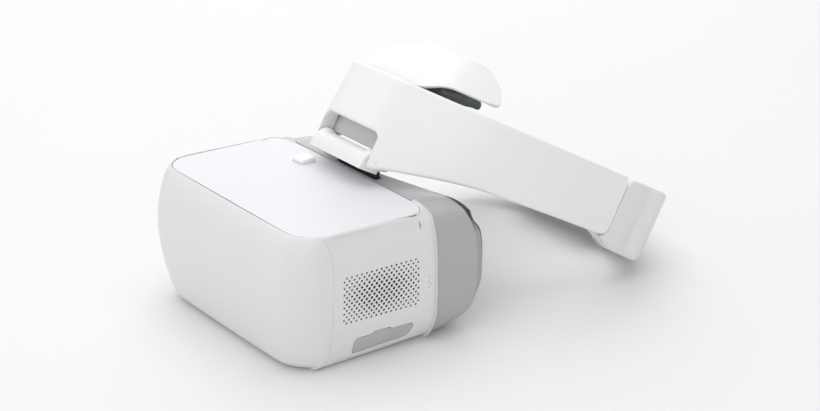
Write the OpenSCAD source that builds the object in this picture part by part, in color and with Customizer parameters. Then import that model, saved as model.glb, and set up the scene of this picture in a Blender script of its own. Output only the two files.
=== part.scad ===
// Video goggles: a box-shaped display unit with a tilting rigid headband.
// Frame: origin at the middle of the display unit's flat underside.
// +X is the wearer's left, -Y is the front, +Z is up, all in millimetres.

/* [Display unit] */
// full width of the display unit
body_w = 195.8; // [176:0.2:216]
// height of the top cover's front edge above the base
body_h = 99.4; // [90:0.2:110]
// how far the front face bulges forward of the origin
front_reach = 76.4; // [60:0.2:90]
// plane where the white shell meets the grey rear housing
seam_y = 40; // [30:0.5:50]
// plan radius of the two front corners
corner_r = 27; // [15:0.5:40]
// wall thickness of the shells
wall = 2.4; // [1.6:0.1:4]
// plane of the seam between front shell and side panels
face_seam_y = -42.4; // [-60:0.2:-20]
// depth of the grey housing at the middle, behind the seam
housing_d = 10.5; // [8:0.5:30]
// radius of the concave face curve seen from above
face_r = 172; // [120:1:260]
// thickness of the dark face frame
frame_t = 5.4; // [3:0.2:9]

/* [Grille and ports] */
// distance between grille columns
grille_px = 4.12; // [3:0.02:6]
// distance between grille rows
grille_pz = 4.75; // [3:0.05:6]
// diameter of a grille hole
grille_d = 1.8; // [1:0.1:2.6]
// front end of the port cover
port_y0 = -27.5; // [-40:0.5:-10]
// rear end of the port cover
port_y1 = 21; // [0:0.5:35]

/* [Headband] */
// tilt of the headband plane, down towards the rear
band_tilt = 29.5; // [20:0.1:40]
// outer width of the headband
band_w = 204; // [190:1:220]
// length of the arm outline from front to rear
band_l = 250; // [230:1:270]
// level of the arms' top edge
band_top = 66.9; // [55:0.1:80]
// radial thickness of the arms
band_t = 14; // [10:0.5:20]
// front of the headband along Y
band_y = 24.4; // [15:0.1:35]
// height of the headband's front lower edge
band_z = 113.15; // [100:0.1:125]
// where the arms end and the rear module starts
arm_end = 180; // [160:1:200]
// how far the rear block is raised from the arms
rear_raise = 8; // [4:0.5:12]
// half width of the slot for the hinge block
slot_hw = 31.5; // [24:0.5:38]
// level of the slot's upper edge
slot_top = 26.5; // [20:0.5:34]
// length of the opened adjustment of the rear pad
pad_travel = 9; // [4:0.5:9]

/* [Optics] */
// distance between the lens centres
ipd = 64; // [58:0.5:70]
// diameter of an eyepiece lens
lens_d = 44; // [36:0.5:50]

/* [Hidden] */
hw = body_w/2;
gap = 0.35;
front_y = -front_reach;
pin_r = 2.5;
hinge_u = 10;
hinge_n = 7;
hinge_y = band_y + hinge_u*cos(band_tilt) + hinge_n*sin(band_tilt);
hinge_z = band_z - hinge_u*sin(band_tilt) + hinge_n*cos(band_tilt);
ipd_z = 17.4;
ipd_pitch = 6;
eye_z = 54;

// ---------- outlines of the display unit ----------
function arc(c, r, a0, a1, n) = [for (k = [0:n]) c + r*[cos(a0 + (a1 - a0)*k/n), sin(a0 + (a1 - a0)*k/n)]];
function flip(p) = [for (k = [len(p) - 1:-1:0]) [-p[k][0], p[k][1]]];
function plan_half(i) = concat([[0, front_y + i]],
  arc([hw - 3.2 - corner_r, front_y + corner_r], corner_r - i, -90, -4, 8),
  [[hw - i, -6], [hw - i, 30], [hw - 1 - i, 100]]);
function plan_pts(i) = concat(plan_half(i), flip(plan_half(i)));
function face_front(z) = z < 55 ? front_y + (55 - z)*(55 - z)/290 : front_y + (z - 55)*(z - 55)/184;
function side_pts(i) = concat(
  [[40, i], [-54, i], [-60, 0.4 + i], [-64.6, 2.4 + i]],
  [for (z = [6, 13, 20, 30, 40, 50, 60, 70, 80, 90, 97]) [face_front(z) + i, z]],
  [[-64.4 + i, body_h - 0.5 - i], [-62, body_h - i]],
  [[seam_y, body_h - 2.1 - i], [50, 97.1 - i], [62, 95.2 - i], [70, 90 - i/2], [75 - i, 80],
   [77.5 - i, 66], [78.2 - i, 46], [77.6 - i, 28], [75 - i, 17 + i/2], [70 - i/2, 10 + i], [60, 5 + i],
       [50, 1.8 + i]]);
function front_half(i) = concat([[0, i]],
  arc([76.6, 20], 20 - i, -90, -8, 6),
  [[hw - 0.7 - i, 36], [hw - i, 55], [hw - 0.3 - i, 74]],
  arc([hw - 11, body_h - 11.4], 10.4 - i, 0, 64, 4),
  [[hw - 7, body_h - i], [0, body_h - i]]);
function front_pts(i) = concat(front_half(i), flip(front_half(i)));
function cover_half(i) = concat([[0, -63.6 + i]],
  arc([hw - 5.6 - 21, -63.6 + 21], 21 - i, -90, -2, 6),
  arc([hw - 5.9 - 9, seam_y - 9.4], 9 - i, 0, 84, 4), [[0, seam_y - 0.3 - i]]);
function cover_pts(i) = concat(cover_half(i), flip(cover_half(i)));

module along_x(w) { rotate([90, 0, 90]) linear_extrude(height = w, center = true) children(); }
module along_y(w) { rotate([90, 0, 0]) linear_extrude(height = w, center = true) children(); }
module body(i) {
  intersection() {
    translate([0, 0, -1]) linear_extrude(height = 120) polygon(plan_pts(i));
    along_x(220) polygon(side_pts(i));
    along_y(320) polygon(front_pts(i));
    for_corner(i);
  }
}
// rounds the two front corners where the three outlines meet
function corner_sag(z) = z < 56 ? (56 - z)*(56 - z)/245 + (z < 20 ? pow((20 - z)/20, 3)*4.2 : 0)
  : (z - 56)*(z - 56)/232;
corner_s = (hw - 3.2 - corner_r - front_y - corner_r)/sqrt(2) + corner_r;
module for_corner(i) {
  intersection() {
    corner_cut(i, 45);
    corner_cut(i, -45);
  }
}
module corner_cut(i, a) {
  rotate([0, 0, a]) along_x(500) polygon(concat([[260, -2], [260, 120]],
    [for (z = [120, body_h, 94, 86, 76, 66, 56, 44, 32, 21, 13, 7, 3, 0, -2]) [corner_sag(min(max(z,
        0), body_h)) - corner_s + i, z]]));
}
module slab(y0, y1, z0 = -1, z1 = 130, x = 120) {
  translate([-x, y0, z0]) cube([2*x, y1 - y0, z1 - z0]);
}
// face curve: everything in front of it, set back by t
module face_side(t) {
  difference() {
    translate([-120, -120, -2]) cube([240, 240, 130]);
    translate([0, seam_y + housing_d + t + face_r, -3]) cylinder(r = face_r, h = 132, $fn = 144);
  }
}
module cover_prism(i, z0 = 80) { translate([0, 0, z0]) linear_extrude(height = 40) polygon(cover_pts(i)); }
module white_shell() {
  difference() {
    body(0);
    body(wall);
    cover_prism(-gap/2);
  }
}

// ---------- display unit shells ----------
function port_half_pts(g) = [[port_y0 - g, 10.6 - g], [port_y0 + 0.6 - g, 17.5], [port_y0 + 3.2, 19.6 + g],
  [port_y0 + 16.4, 19.8 + g], [port_y0 + 18, 21.6 + g], [port_y0 + 29.6, 21.6 + g],
  [port_y0 + 31.4, 19.8 + g], [port_y1 - 3, 19.8 + g], [port_y1 + g, 17.2], [port_y1 - 1.8 + g, 12],
  [port_y1 - 5, 9 - g], [port_y0 + 2.6, 8.6 - g]];
module port_region(g) { translate([101, 0, 0]) along_x(40) polygon(port_half_pts(g)); }

module front_shell() {
  color([0.9, 0.91, 0.9]) intersection() {
    white_shell();
    slab(-120, face_seam_y);
  }
}

module grille_holes() {
  for (r = [0:4]) for (c = [0:8])
    translate([hw, -4.9 + (c - 4)*grille_px + (r % 2)*grille_px/2, 50.5 + (r - 2)*grille_pz])
      rotate([0, 90, 0]) cylinder(d = grille_d, h = 12, center = true, $fn = 8);
}
module side_half() {
  difference() {
    intersection() {
      white_shell();
      slab(face_seam_y + gap, seam_y - gap);
      translate([0, -120, -5]) cube([120, 240, 120]);
    }
    translate([-1, -38.2 - gap, -2]) cube([76 + gap, 90, 6]);
  }
}
module side_panel_left() {
  color([0.91, 0.92, 0.93]) difference() {
    union() {
      side_half();
      intersection() {
        difference() {
          body(0);
          body(5);
        }
        port_region(2.4);
      }
    }
    grille_holes();
    intersection() {
      port_region(0.3);
      difference() {
        body(-3);
        body(2.3);
      }
    }
    intersection() {
      port_region(0.3);
      translate([93.2, -60, 8.5]) rotate([-90, 0, 0]) cylinder(r = 3.5, h = 120, $fn = 48);
    }
    translate([85, -21, 11.8]) cube([14, 15.4, 6.3]);
    translate([85, -1.6, 11.8]) cube([14, 8.6, 4.4]);
    translate([85, 14.4, 14.6]) rotate([0, 90, 0]) cylinder(d = 4.6, h = 14, $fn = 24);
    for (k = [0:4]) translate([90, 33.8 + (k % 2)*1.3, 44.2 + k*2.2]) rotate([0, 90, 0])
        cylinder(d = 0.9, h = 12, $fn = 8);
  }
}
module side_panel_right() {
  color([0.91, 0.92, 0.93]) difference() {
    union() {
      mirror([1, 0, 0]) side_half();
      intersection() {
        difference() {
          body(0);
          body(4.2);
        }
        translate([-hw - 12, -22, 27]) cube([30, 50, 54]);
      }
    }
    intersection() {
      translate([-hw - 12, -18.3, 30.7]) cube([30, 48.6, 46.6]);
      difference() {
        body(-3);
        body(1.5);
      }
    }
    translate([-hw, -30, 54]) rotate([0, 90, 0]) cylinder(d = 9.7, h = 20, center = true, $fn = 36);
    translate([-hw, 22, 19.6]) rotate([0, 90, 0]) cylinder(d = 9.7, h = 20, center = true, $fn = 36);
  }
}
module touch_pad() {
  color([0.86, 0.87, 0.88]) intersection() {
    translate([-hw - 12, -18, 31]) cube([30, 48, 46]);
    difference() {
      body(0);
      body(1.4);
    }
  }
}
module top_cover() {
  color([0.93, 0.94, 0.96]) difference() {
    intersection() {
      difference() {
        body(0);
        body(wall);
      }
      cover_prism(gap/2);
    }
    translate([-35.5, 22.6, 90]) linear_extrude(height = 20) rounded_rect(13.8, 13.8, 3.2);
  }
}
module rounded_rect(w, h, r) {
  polygon(concat(arc([w/2 - r, h/2 - r], r, 0, 90, 5), arc([r - w/2, h/2 - r], r, 90, 180, 5),
    arc([r - w/2, r - h/2], r, 180, 270, 5), arc([w/2 - r, r - h/2], r, 270, 360, 5)));
}
module top_button() {
  color([0.95, 0.96, 0.97]) {
    translate([-35.5, 22.6, 94.6]) linear_extrude(height = 6.3) rounded_rect(13, 13, 2.8);
    translate([-35.5, 22.6, 93.4]) linear_extrude(height = 1.3) rounded_rect(17, 17, 3.5);
    translate([-35.5, 22.6, 90.6]) cylinder(d = 5, h = 3, $fn = 24);
  }
}
module side_button(y, z) {
  translate([-hw + 0.2, y, z]) rotate([0, 90, 0]) {
    translate([0, 0, -0.9]) cylinder(d = 8.9, h = 5.4, $fn = 36);
    translate([0, 0, 4.2]) cylinder(d = 11.6, h = 1.2, $fn = 36);
  }
}
module back_button() { color([0.8, 0.81, 0.82]) translate([1.7, 0, 0]) side_button(-30, 54); }
module power_button() { color([0.8, 0.81, 0.82]) translate([1.9, 0, 0]) side_button(22, 19.6); }
module bottom_cover() {
  color([0.85, 0.86, 0.86]) difference() {
    union() {
      intersection() {
        body(0);
        translate([-75, -38.2, 0]) cube([150, seam_y - 38.2*-1 - gap, 2.4]);
      }
      for (sx = [-1, 1]) for (y = [-30, 30]) translate([sx*66, y, 2]) cylinder(d = 9, h = 4, $fn = 24);
    }
    for (sx = [-1, 1]) for (y = [-30, 30]) translate([sx*66, y, -1]) {
      cylinder(d = 5.6, h = 2.6, $fn = 24);
      cylinder(d = 2.6, h = 9, $fn = 16);
    }
  }
}
module case_screws() {
  color([0.6, 0.6, 0.62]) for (sx = [-1, 1]) for (y = [-30, 30]) translate([sx*66, y, 0]) difference() {
    union() {
      translate([0, 0, 0.2]) cylinder(d = 5.1, h = 1.4, $fn = 24);
      translate([0, 0, 1.4]) cylinder(d = 2.6, h = 4.6, $fn = 16);
    }
    translate([0, 0, -0.5]) cylinder(d = 2.4, h = 1.5, $fn = 6);
  }
}

module port_cover() {
  color([0.66, 0.67, 0.68]) intersection() {
    port_region(0);
    difference() {
      body(-0.15);
      body(2);
    }
  }
}
module io_board() {
  color([0.1, 0.35, 0.2]) difference() {
    union() {
      translate([70, -26, 10.6]) cube([15, 47, 1.4]);
      translate([78, -20.8, 12]) cube([12.6, 15, 5.9]);
      translate([78, -1.4, 12]) cube([12.6, 8.2, 4]);
      translate([78, 10.8, 12]) cube([8.4, 7.4, 5.4]);
      translate([86, 14.4, 14.6]) rotate([0, 90, 0]) cylinder(d = 4.2, h = 4.6, $fn = 24);
    }
    translate([84, -20, 12.6]) cube([8, 13.4, 4.6]);
    translate([84, -0.6, 12.8]) cube([8, 6.6, 2.4]);
    translate([81, 14.4, 14.6]) rotate([0, 90, 0]) cylinder(d = 3.5, h = 12, $fn = 24);
  }
}

// ---------- electronics ----------
module mainboard() {
  color([0.08, 0.3, 0.18]) {
    translate([-78, -52, 14]) cube([156, 1.6, 72]);
    translate([-30, -50.5, 60]) cube([18, 1.8, 18]);
    translate([6, -50.5, 56]) cube([24, 1.8, 24]);
    translate([40, -50.5, 30]) cube([14, 2.4, 20]);
    translate([-62, -50.5, 24]) cube([20, 3, 10]);
    translate([-20, -50.5, 26]) cube([30, 2.2, 8]);
  }
}
module heat_sink() {
  color([0.75, 0.76, 0.78]) {
    translate([-40, -54.2, 24]) cube([80, 2.1, 56]);
    for (k = [0:10]) translate([-39 + k*7.6, -62.4, 26]) cube([1.6, 8.4, 52]);
  }
}
module fan_housing() {
  color([0.12, 0.12, 0.13]) difference() {
    translate([83.4, -25, 31]) cube([9, 40, 40]);
    translate([82, -5, 51]) rotate([0, 90, 0]) cylinder(d = 37.4, h = 12, $fn = 60);
  }
  color([0.12, 0.12, 0.13]) {
    translate([83.4, -25, 49.2]) cube([1.4, 40, 3.6]);
    translate([83.4, -5, 51]) rotate([0, 90, 0]) cylinder(d = 14, h = 1.4, $fn = 36);
    translate([83.4, -5, 51]) rotate([0, 90, 0]) cylinder(d = 2.4, h = 6.6, $fn = 24);
  }
}
module fan_rotor() {
  color([0.2, 0.2, 0.22]) translate([85.4, -5, 51]) rotate([0, 90, 0]) {
    difference() {
      cylinder(d = 15, h = 6.2, $fn = 36);
      translate([0, 0, -1]) cylinder(d = 2.52, h = 5.9, $fn = 24);
    }
    for (a = [0:40:320]) rotate([0, 0, a]) translate([12.1, 0, 3.1]) rotate([34, 0, 0]) cube([10.2,
        1.1, 6.2], center = true);
  }
}
module speaker() {
  color([0.15, 0.15, 0.16]) translate([94.4, 21.6, 54]) rotate([0, -90, 0]) {
    cylinder(d = 10, h = 2.6, $fn = 40);
    translate([0, 0, 2.6]) cylinder(d = 6, h = 2.4, $fn = 32);
  }
}
module display_panel() {
  color([0.04, 0.04, 0.05]) translate([-62, -33.4, 24]) cube([124, 2.6, 62]);
}
module display_carrier() {
  color([0.3, 0.3, 0.32]) difference() {
    translate([-68, -44, 18]) cube([136, 14.4, 74]);
    translate([-64.5, -45, 21.5]) cube([129, 11.4, 67]);
    translate([-62.2, -34.2, 23.8]) cube([124.4, 3.8, 62.4]);
    translate([-60, -34, 26]) cube([120, 6, 58]);
  }
}
module light_baffle() {
  color([0.05, 0.05, 0.05]) difference() {
    translate([-64, -29.4, 22]) cube([128, 43, 66]);
    for (sx = [-1, 1]) translate([sx*32 - 29.8, -31, 23.6]) cube([59.6, 48, 62.8]);
  }
}
module eyepiece_plate() {
  color([0.07, 0.07, 0.075]) difference() {
    intersection() {
      body(wall + 0.4);
      translate([-100, 28.4, 2]) cube([200, 1.6, 92]);
    }
    for (sx = [-1, 1]) for (d = [-5, 5]) translate([sx*ipd/2 + d, 20, eye_z]) rotate([-90, 0, 0])
        cylinder(d = lens_d + 5.4, h = 20, $fn = 64);
    for (sx = [-1, 1]) translate([sx*ipd/2 - 5, 20, eye_z - lens_d/2 - 2.7]) cube([10, 20, lens_d + 5.4]);
    translate([-5, 20, 86]) cube([10, 20, 4]);
    translate([0, 20, ipd_z]) rotate([-90, 0, 0]) cylinder(r = 2.66, h = 20, $fn = 32);
    translate([-46, 20, 89]) cube([21, 20, 12]);
    for (sx = [-1, 1]) translate([sx*66 - 6, 20, 0]) cube([12, 20, 7.5]);
  }
}
module proximity_window() {
  color([0.02, 0.02, 0.03]) translate([-4.8, 27.8, 86.2]) cube([9.6, 2.4, 3.6]);
}

// ---------- lens distance drive ----------
module gear(r, n, h, teeth_h) {
  linear_extrude(height = h) polygon([for (k = [0:n - 1]) for (j = [0:3])
    let (a = 360*(k + [-0.30, -0.13, 0.13, 0.30][j])/n, q = (j == 1 || j == 2)
        ? r + teeth_h*0.5 : r - teeth_h*0.62)
    [q*cos(a), q*sin(a)]]);
}
rack_p = 2*PI*ipd_pitch/16;
module rack_teeth(x0, n, y0, w, z, up) {
  for (k = [0:n - 1]) translate([x0 + k*rack_p, y0, z]) rotate([-90, 0, 0]) linear_extrude(height = w)
    polygon(up > 0 ? [[-0.62, 0.1], [0.62, 0.1], [0.3, -1], [-0.3, -1]] : [[-0.62, -0.1], [0.62, -0.1],
        [0.3, 1], [-0.3, 1]]);
}
module carriage(s) {
  difference() {
    union() {
      translate([s*ipd/2 - 25, 19, eye_z - 25]) cube([50, 4, 50]);
      translate([s*ipd/2, 19, eye_z]) rotate([-90, 0, 0]) cylinder(d = lens_d + 4, h = 17, $fn = 72);
    }
    translate([s*ipd/2, 18, eye_z]) rotate([-90, 0, 0]) cylinder(d = lens_d - 3, h = 20, $fn = 72);
    translate([s*ipd/2, 24, eye_z]) rotate([-90, 0, 0]) cylinder(d = lens_d, h = 20, $fn = 72);
  }
}
module lens_carriage_left() {
  color([0.1, 0.1, 0.11]) {
    carriage(1);
    translate([-14, 19.2, ipd_z + ipd_pitch + 1.1]) cube([62, 3.6, 2.6]);
    translate([36, 19.2, ipd_z + ipd_pitch + 1.1]) cube([12, 3.6, 8]);
    rack_teeth(-4.5*rack_p, 10, 19.2, 3.6, ipd_z + ipd_pitch + 1.1, -1);
  }
}
module lens_carriage_right() {
  color([0.1, 0.1, 0.11]) {
    carriage(-1);
    translate([-48, 19.2, ipd_z - ipd_pitch - 3.7]) cube([62, 3.6, 2.6]);
    translate([-48, 19.2, ipd_z - ipd_pitch - 3.7]) cube([10, 3.6, 24]);
    rack_teeth(-4.5*rack_p, 10, 19.2, 3.6, ipd_z - ipd_pitch - 1.1, 1);
  }
}
module lens_shape() {
  rotate_extrude($fn = 72) polygon(concat([[0, 0], [lens_d/2 - 0.1, 1.6], [lens_d/2 - 0.1, 3]],
    [for (a = [22:-2.75:0]) [56*sin(a)*1.04, 3 + 56*(cos(a) - cos(22))]]));
}
module lens_left() { color([0.75, 0.85, 0.9, 0.5]) translate([ipd/2, 24.1, eye_z]) rotate([-90, 0, 0])
    lens_shape(); }
module lens_right() { color([0.75, 0.85, 0.9, 0.5]) translate([-ipd/2, 24.1, eye_z]) rotate([-90, 0,
    0]) lens_shape(); }
module ipd_wheel() {
  color([0.25, 0.25, 0.27]) translate([0, 0, ipd_z]) rotate([-90, 0, 0]) {
    translate([0, 0, 19.2]) gear(ipd_pitch, 16, 3.6, 1.6);
    translate([0, 0, 17]) cylinder(r = 2.6, h = 26, $fn = 32);
    translate([0, 0, 42.4]) difference() {
      cylinder(r = 15.6, h = 5.4, $fn = 72);
      for (a = [0:12:348]) rotate([0, 0, a]) translate([15.9, 0, -1]) cylinder(r = 0.75, h = 8, $fn = 6);
    }
  }
}

// ---------- rear housing and face side ----------
module rear_housing() {
  color([0.68, 0.69, 0.7]) difference() {
    intersection() {
      difference() {
        body(0);
        body(wall);
      }
      slab(seam_y + gap, 110);
      face_side(0);
    }
    translate([-17, 41, -2]) cube([34, 8, 12]);
    translate([-24.7, 42.3, 90]) cube([49.4, 6.2, 20]);
  }
}
module face_ring(i0, i1, t0, t1, nose) {
  difference() {
    intersection() {
      difference() {
        body(i0);
        translate([0, 20, 0]) along_y(240) polygon(front_in(i1));
      }
      slab(seam_y + 5, 120);
      face_side(t1);
    }
    face_side(t0);
    translate([0, 40, 2]) rotate([-90, 0, 0]) cylinder(r = nose, h = 60, $fn = 48);
  }
}
function front_in(i) = concat(arc([hw - 26, 24 + 4], 20 - i + 4, -90, 0, 6),
  arc([hw - 30, body_h - 34], 24 - i + 4, 0, 90, 6), arc([30 - hw, body_h - 34], 24 - i + 4, 90, 180, 6),
  arc([26 - hw, 24 + 4], 20 - i + 4, 180, 270, 6));
module face_frame() { color([0.36, 0.37, 0.38]) translate([0, 5.4, 0]) face_ring(0.9, 9, -5.2,
    frame_t - 5.4, 17); }
module face_cushion() { color([0.09, 0.09, 0.1]) translate([0, 8, 0]) face_ring(5.6, 13, frame_t - 7.8,
    frame_t - 3, 20); }

// ---------- tilting hinge ----------
module band_frame() { translate([0, band_y, band_z]) rotate([-band_tilt, 0, 0]) children(); }
module hinge_neck() {
  color([0.1, 0.1, 0.11]) {
    translate([-24, 42.8, 93.4]) cube([48, 5.2, 10]);
    intersection() {
      band_frame() translate([-24, 6, -9]) cube([48, 11, 7.8]);
      translate([-30, 36.6, 98.6]) cube([60, 20, 20]);
    }
  }
}
module hinge_block() {
  color([0.96, 0.96, 0.96]) band_frame() difference() {
    union() {
      translate([-slot_hw + 0.6, 0, 0]) rotate([90, 0, 90]) linear_extrude(height = 2*slot_hw - 1.2)
        polygon(concat([[17.6, -1.2], [0.4, -1.2]], arc([9.6, 3.2], 9.4, 184, 40, 9), [[17.6, 8]]));
      for (sx = [-1, 1]) translate([sx*(slot_hw - 4), hinge_u, hinge_n]) rotate([0, 90, 0])
          cylinder(r = 7.4, h = 6.6, center = true, $fn = 40);
    }
    translate([0, hinge_u, hinge_n]) rotate([0, 90, 0]) cylinder(r = pin_r + 0.05, h = 90,
        center = true, $fn = 40);
  }
}
module hinge_pin() {
  color([0.7, 0.7, 0.72]) band_frame() translate([0, hinge_u, hinge_n]) rotate([0, 90, 0]) {
    cylinder(r = pin_r, h = 72.6, center = true, $fn = 40);
  }
}
module hinge_bracket() {
  color([0.6, 0.61, 0.63]) band_frame() difference() {
    intersection() {
      union() {
        translate([-36.2, 10, 29.2]) cube([72.4, 1.5, 18]);
        for (sx = [-1, 1]) translate([sx*35.1 - 1.1, 7, 3]) cube([2.2, 7.6, 44.2]);
      }
      ring_wall(-2.8, -band_t + 2.5, 2, 60);
      arm_view(2.6, 60);
    }
    translate([0, hinge_u, hinge_n]) rotate([0, 90, 0]) cylinder(r = pin_r, h = 90, center = true,
        $fn = 40);
  }
}

// ---------- headband ----------
rs = 25;
rl = 165;
rc = 62;
ah = 43;
flat_x = 18;
c2x = band_w/2 - rl;
c3x = band_w/2 - rc;
s3x = c2x + rl*sin(ah);
s3l = (s3x - flat_x - rs*sin(ah))/cos(ah);
c2u = rs*(1 - cos(ah)) + s3l*sin(ah) + rl*cos(ah);
function harc(cx, cu, r, h0, h1, n) = [for (k = [0:n]) [cx + r*sin(h0 + (h1 - h0)*k/n),
    cu - r*cos(h0 + (h1 - h0)*k/n)]];
function ring_half(d) = concat([[0, -d]], harc(flat_x, rs, rs + d, 0, ah, 5), harc(c2x, c2u, rl + d,
    ah, 90, 9),
  harc(c3x, band_l - rc, rc + d, 90, 180, 10), [[0, band_l + d]]);
function ring_pts(d) = concat(ring_half(d), flip(ring_half(d)));
module ring_solid(d, n0, n1) { translate([0, 0, n0]) linear_extrude(height = n1 - n0)
    polygon(ring_pts(d)); }
module ring_wall(d0, d1, n0, n1) {
  difference() {
    ring_solid(d0, n0, n1);
    ring_solid(d1, n0 - 1, n1 + 1);
  }
}
// side view of an arm: lower edge rises from the slot to the rear
function low_edge(u) = u < 76 ? -0.6 + 19*(1 - pow(1 - u/76, 1.7)) : 18.4 + 2.4*(1 - pow(1 - min(1,
    (u - 76)/80), 2));
function arm_pts(i, e) = concat([[-20, -0.6 + i]],
  [for (u = [0, 6, 12, 20, 30, 42, 56, 76, 100, 130, 160]) [u, low_edge(u) + i]],
  [[e, low_edge(e) + i], [e, band_top - 6], [e - 1.8, band_top - 1.8 - i/2], [e - 6, band_top - i],
      [-20, band_top - i]]);
module arm_view(i, e) { along_x(240) polygon(arm_pts(i, e)); }
module slot_cut(g, top = slot_top) {
  translate([0, -30, 0]) rotate([-90, 0, 0]) mirror([0, 1, 0]) linear_extrude(height = 60)
    polygon(concat([[-slot_hw - g, -30], [slot_hw + g, -30]], arc([slot_hw + g - 6, top + g - 6],
        6, 0, 90, 4),
      arc([6 - slot_hw - g, top + g - 6], 6, 90, 180, 4)));
}
module band_shell() {
  color([0.94, 0.95, 0.96]) band_frame() difference() {
    intersection() {
      ring_wall(0, -band_t + 2.1, -2, 80);
      arm_view(0, arm_end);
    }
    difference() {
      intersection() {
        ring_wall(-2.4, -band_t - 1, -3, 81);
        arm_view(2.2, arm_end + 10);
      }
      slot_cut(2.2);
    }
    slot_cut(0);
    translate([0, hinge_u, hinge_n]) rotate([0, 90, 0]) cylinder(r = pin_r + 0.4, h = 90,
        center = true, $fn = 32);
  }
}
module band_liner() {
  color([0.8, 0.81, 0.82]) band_frame() difference() {
    intersection() {
      ring_wall(-band_t + 2, -band_t, -2, 80);
      arm_view(0.3, arm_end - 0.2);
    }
    slot_cut(0.2, 15);
    for (n = [28, 58]) translate([0, 177.6, n]) rotate([0, 90, 0]) cylinder(d = 2.2, h = 240,
        center = true, $fn = 16);
  }
}
module battery(s) {
  band_frame() {
    translate([s*95.2, 158, 44]) cube([6.4, 36, 36], center = true);
    translate([s*93.2, 119, 43]) rotate([0, 0, -s*6]) cube([5.6, 36, 38], center = true);
  }
}
module battery_left() { color([0.25, 0.4, 0.6]) battery(1); }
module battery_right() { color([0.25, 0.4, 0.6]) battery(-1); }
module band_board() {
  color([0.08, 0.3, 0.18]) band_frame() {
    translate([-17, 6.6, 50]) cube([34, 1.4, 13]);
    translate([-10, 5, 53]) cube([8, 1.7, 7]);
    translate([3, 4.6, 52.6]) cube([7, 2.1, 8]);
  }
}
// forehead plate: a curved cap that leans back above the arms
function cap_w(t) = t < 0 ? 67.8 + 26*t : 67.8 - 35.2*pow(t, 1.3);
function cap_a(t) = t < 0 ? 48.2 + 20*t : 48.2*(1 - 0.6*t*t*t);
function cap_s(t, s) = let (q = t < 0 ? 0 : t, v = abs(s))
  [cap_w(t)*s, 16.6 + 12*t + 23.5*q*q + cap_a(t)*pow(v, 2.78), 67.3 + 32*t + 9.8*(1 - q)*v*v];
function cap_nrm(t, s) = let (c = cross(cap_s(t, s + 0.01) - cap_s(t, s - 0.01), cap_s(t + 0.01, s)
    - cap_s(t - 0.01, s))) c/norm(c);
function cap_pt(t, s, d) = cap_s(t, s) - d*cap_nrm(t, s);
cap_m = 8;
cap_k = 14;
module cap_solid(t0, t1, d0, d1, sw) {
  pts = concat(
    [for (a = [0:cap_m]) for (b = [0:cap_k]) cap_pt(t0 + (t1 - t0)*a/cap_m, sw*(2*b/cap_k - 1), d0)],
    [for (a = [0:cap_m]) for (b = [0:cap_k]) cap_pt(t0 + (t1 - t0)*a/cap_m, sw*(2*b/cap_k - 1), d1)]);
  q = cap_k + 1;
  o = (cap_m + 1)*q;
  faces = concat(
    [for (a = [0:cap_m - 1]) for (b = [0:cap_k - 1]) [a*q + b, (a + 1)*q + b, (a + 1)*q + b + 1]],
    [for (a = [0:cap_m - 1]) for (b = [0:cap_k - 1]) [a*q + b, (a + 1)*q + b + 1, a*q + b + 1]],
    [for (a = [0:cap_m - 1]) for (b = [0:cap_k - 1]) [o + a*q + b, o + (a + 1)*q + b + 1,
        o + (a + 1)*q + b]],
    [for (a = [0:cap_m - 1]) for (b = [0:cap_k - 1]) [o + a*q + b, o + a*q + b + 1, o + (a + 1)*q + b + 1]],
    [for (b = [0:cap_k - 1]) [b, b + 1, o + b + 1]], [for (b = [0:cap_k - 1]) [b, o + b + 1, o + b]],
    [for (b = [0:cap_k - 1]) [cap_m*q + b + 1, cap_m*q + b, o + cap_m*q + b]],
    [for (b = [0:cap_k - 1]) [cap_m*q + b + 1, o + cap_m*q + b, o + cap_m*q + b + 1]],
    [for (a = [0:cap_m - 1]) [(a + 1)*q, a*q, o + a*q]], [for (a = [0:cap_m - 1]) [(a + 1)*q, o + a*q,
        o + (a + 1)*q]],
    [for (a = [0:cap_m - 1]) [a*q + cap_k, (a + 1)*q + cap_k, o + (a + 1)*q + cap_k]],
    [for (a = [0:cap_m - 1]) [a*q + cap_k, o + (a + 1)*q + cap_k, o + a*q + cap_k]]);
  polyhedron(points = pts, faces = faces, convexity = 6);
}
module forehead_plate() {
  color([0.97, 0.97, 0.97]) band_frame() difference() {
    cap_solid(0.0, 1, 0, 3, 1);
    ring_solid(2, 30, band_top + 0.4);
  }
}
module forehead_pad() {
  color([0.2, 0.21, 0.22]) band_frame() difference() {
    cap_solid(-0.3, 0.92, 4.2, 12, 0.9);
    difference() {
      translate([-120, -20, 20]) cube([240, 140, band_top + 0.4 - 20]);
      ring_solid(-band_t - 0.4, 10, 90);
    }
  }
}

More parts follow.
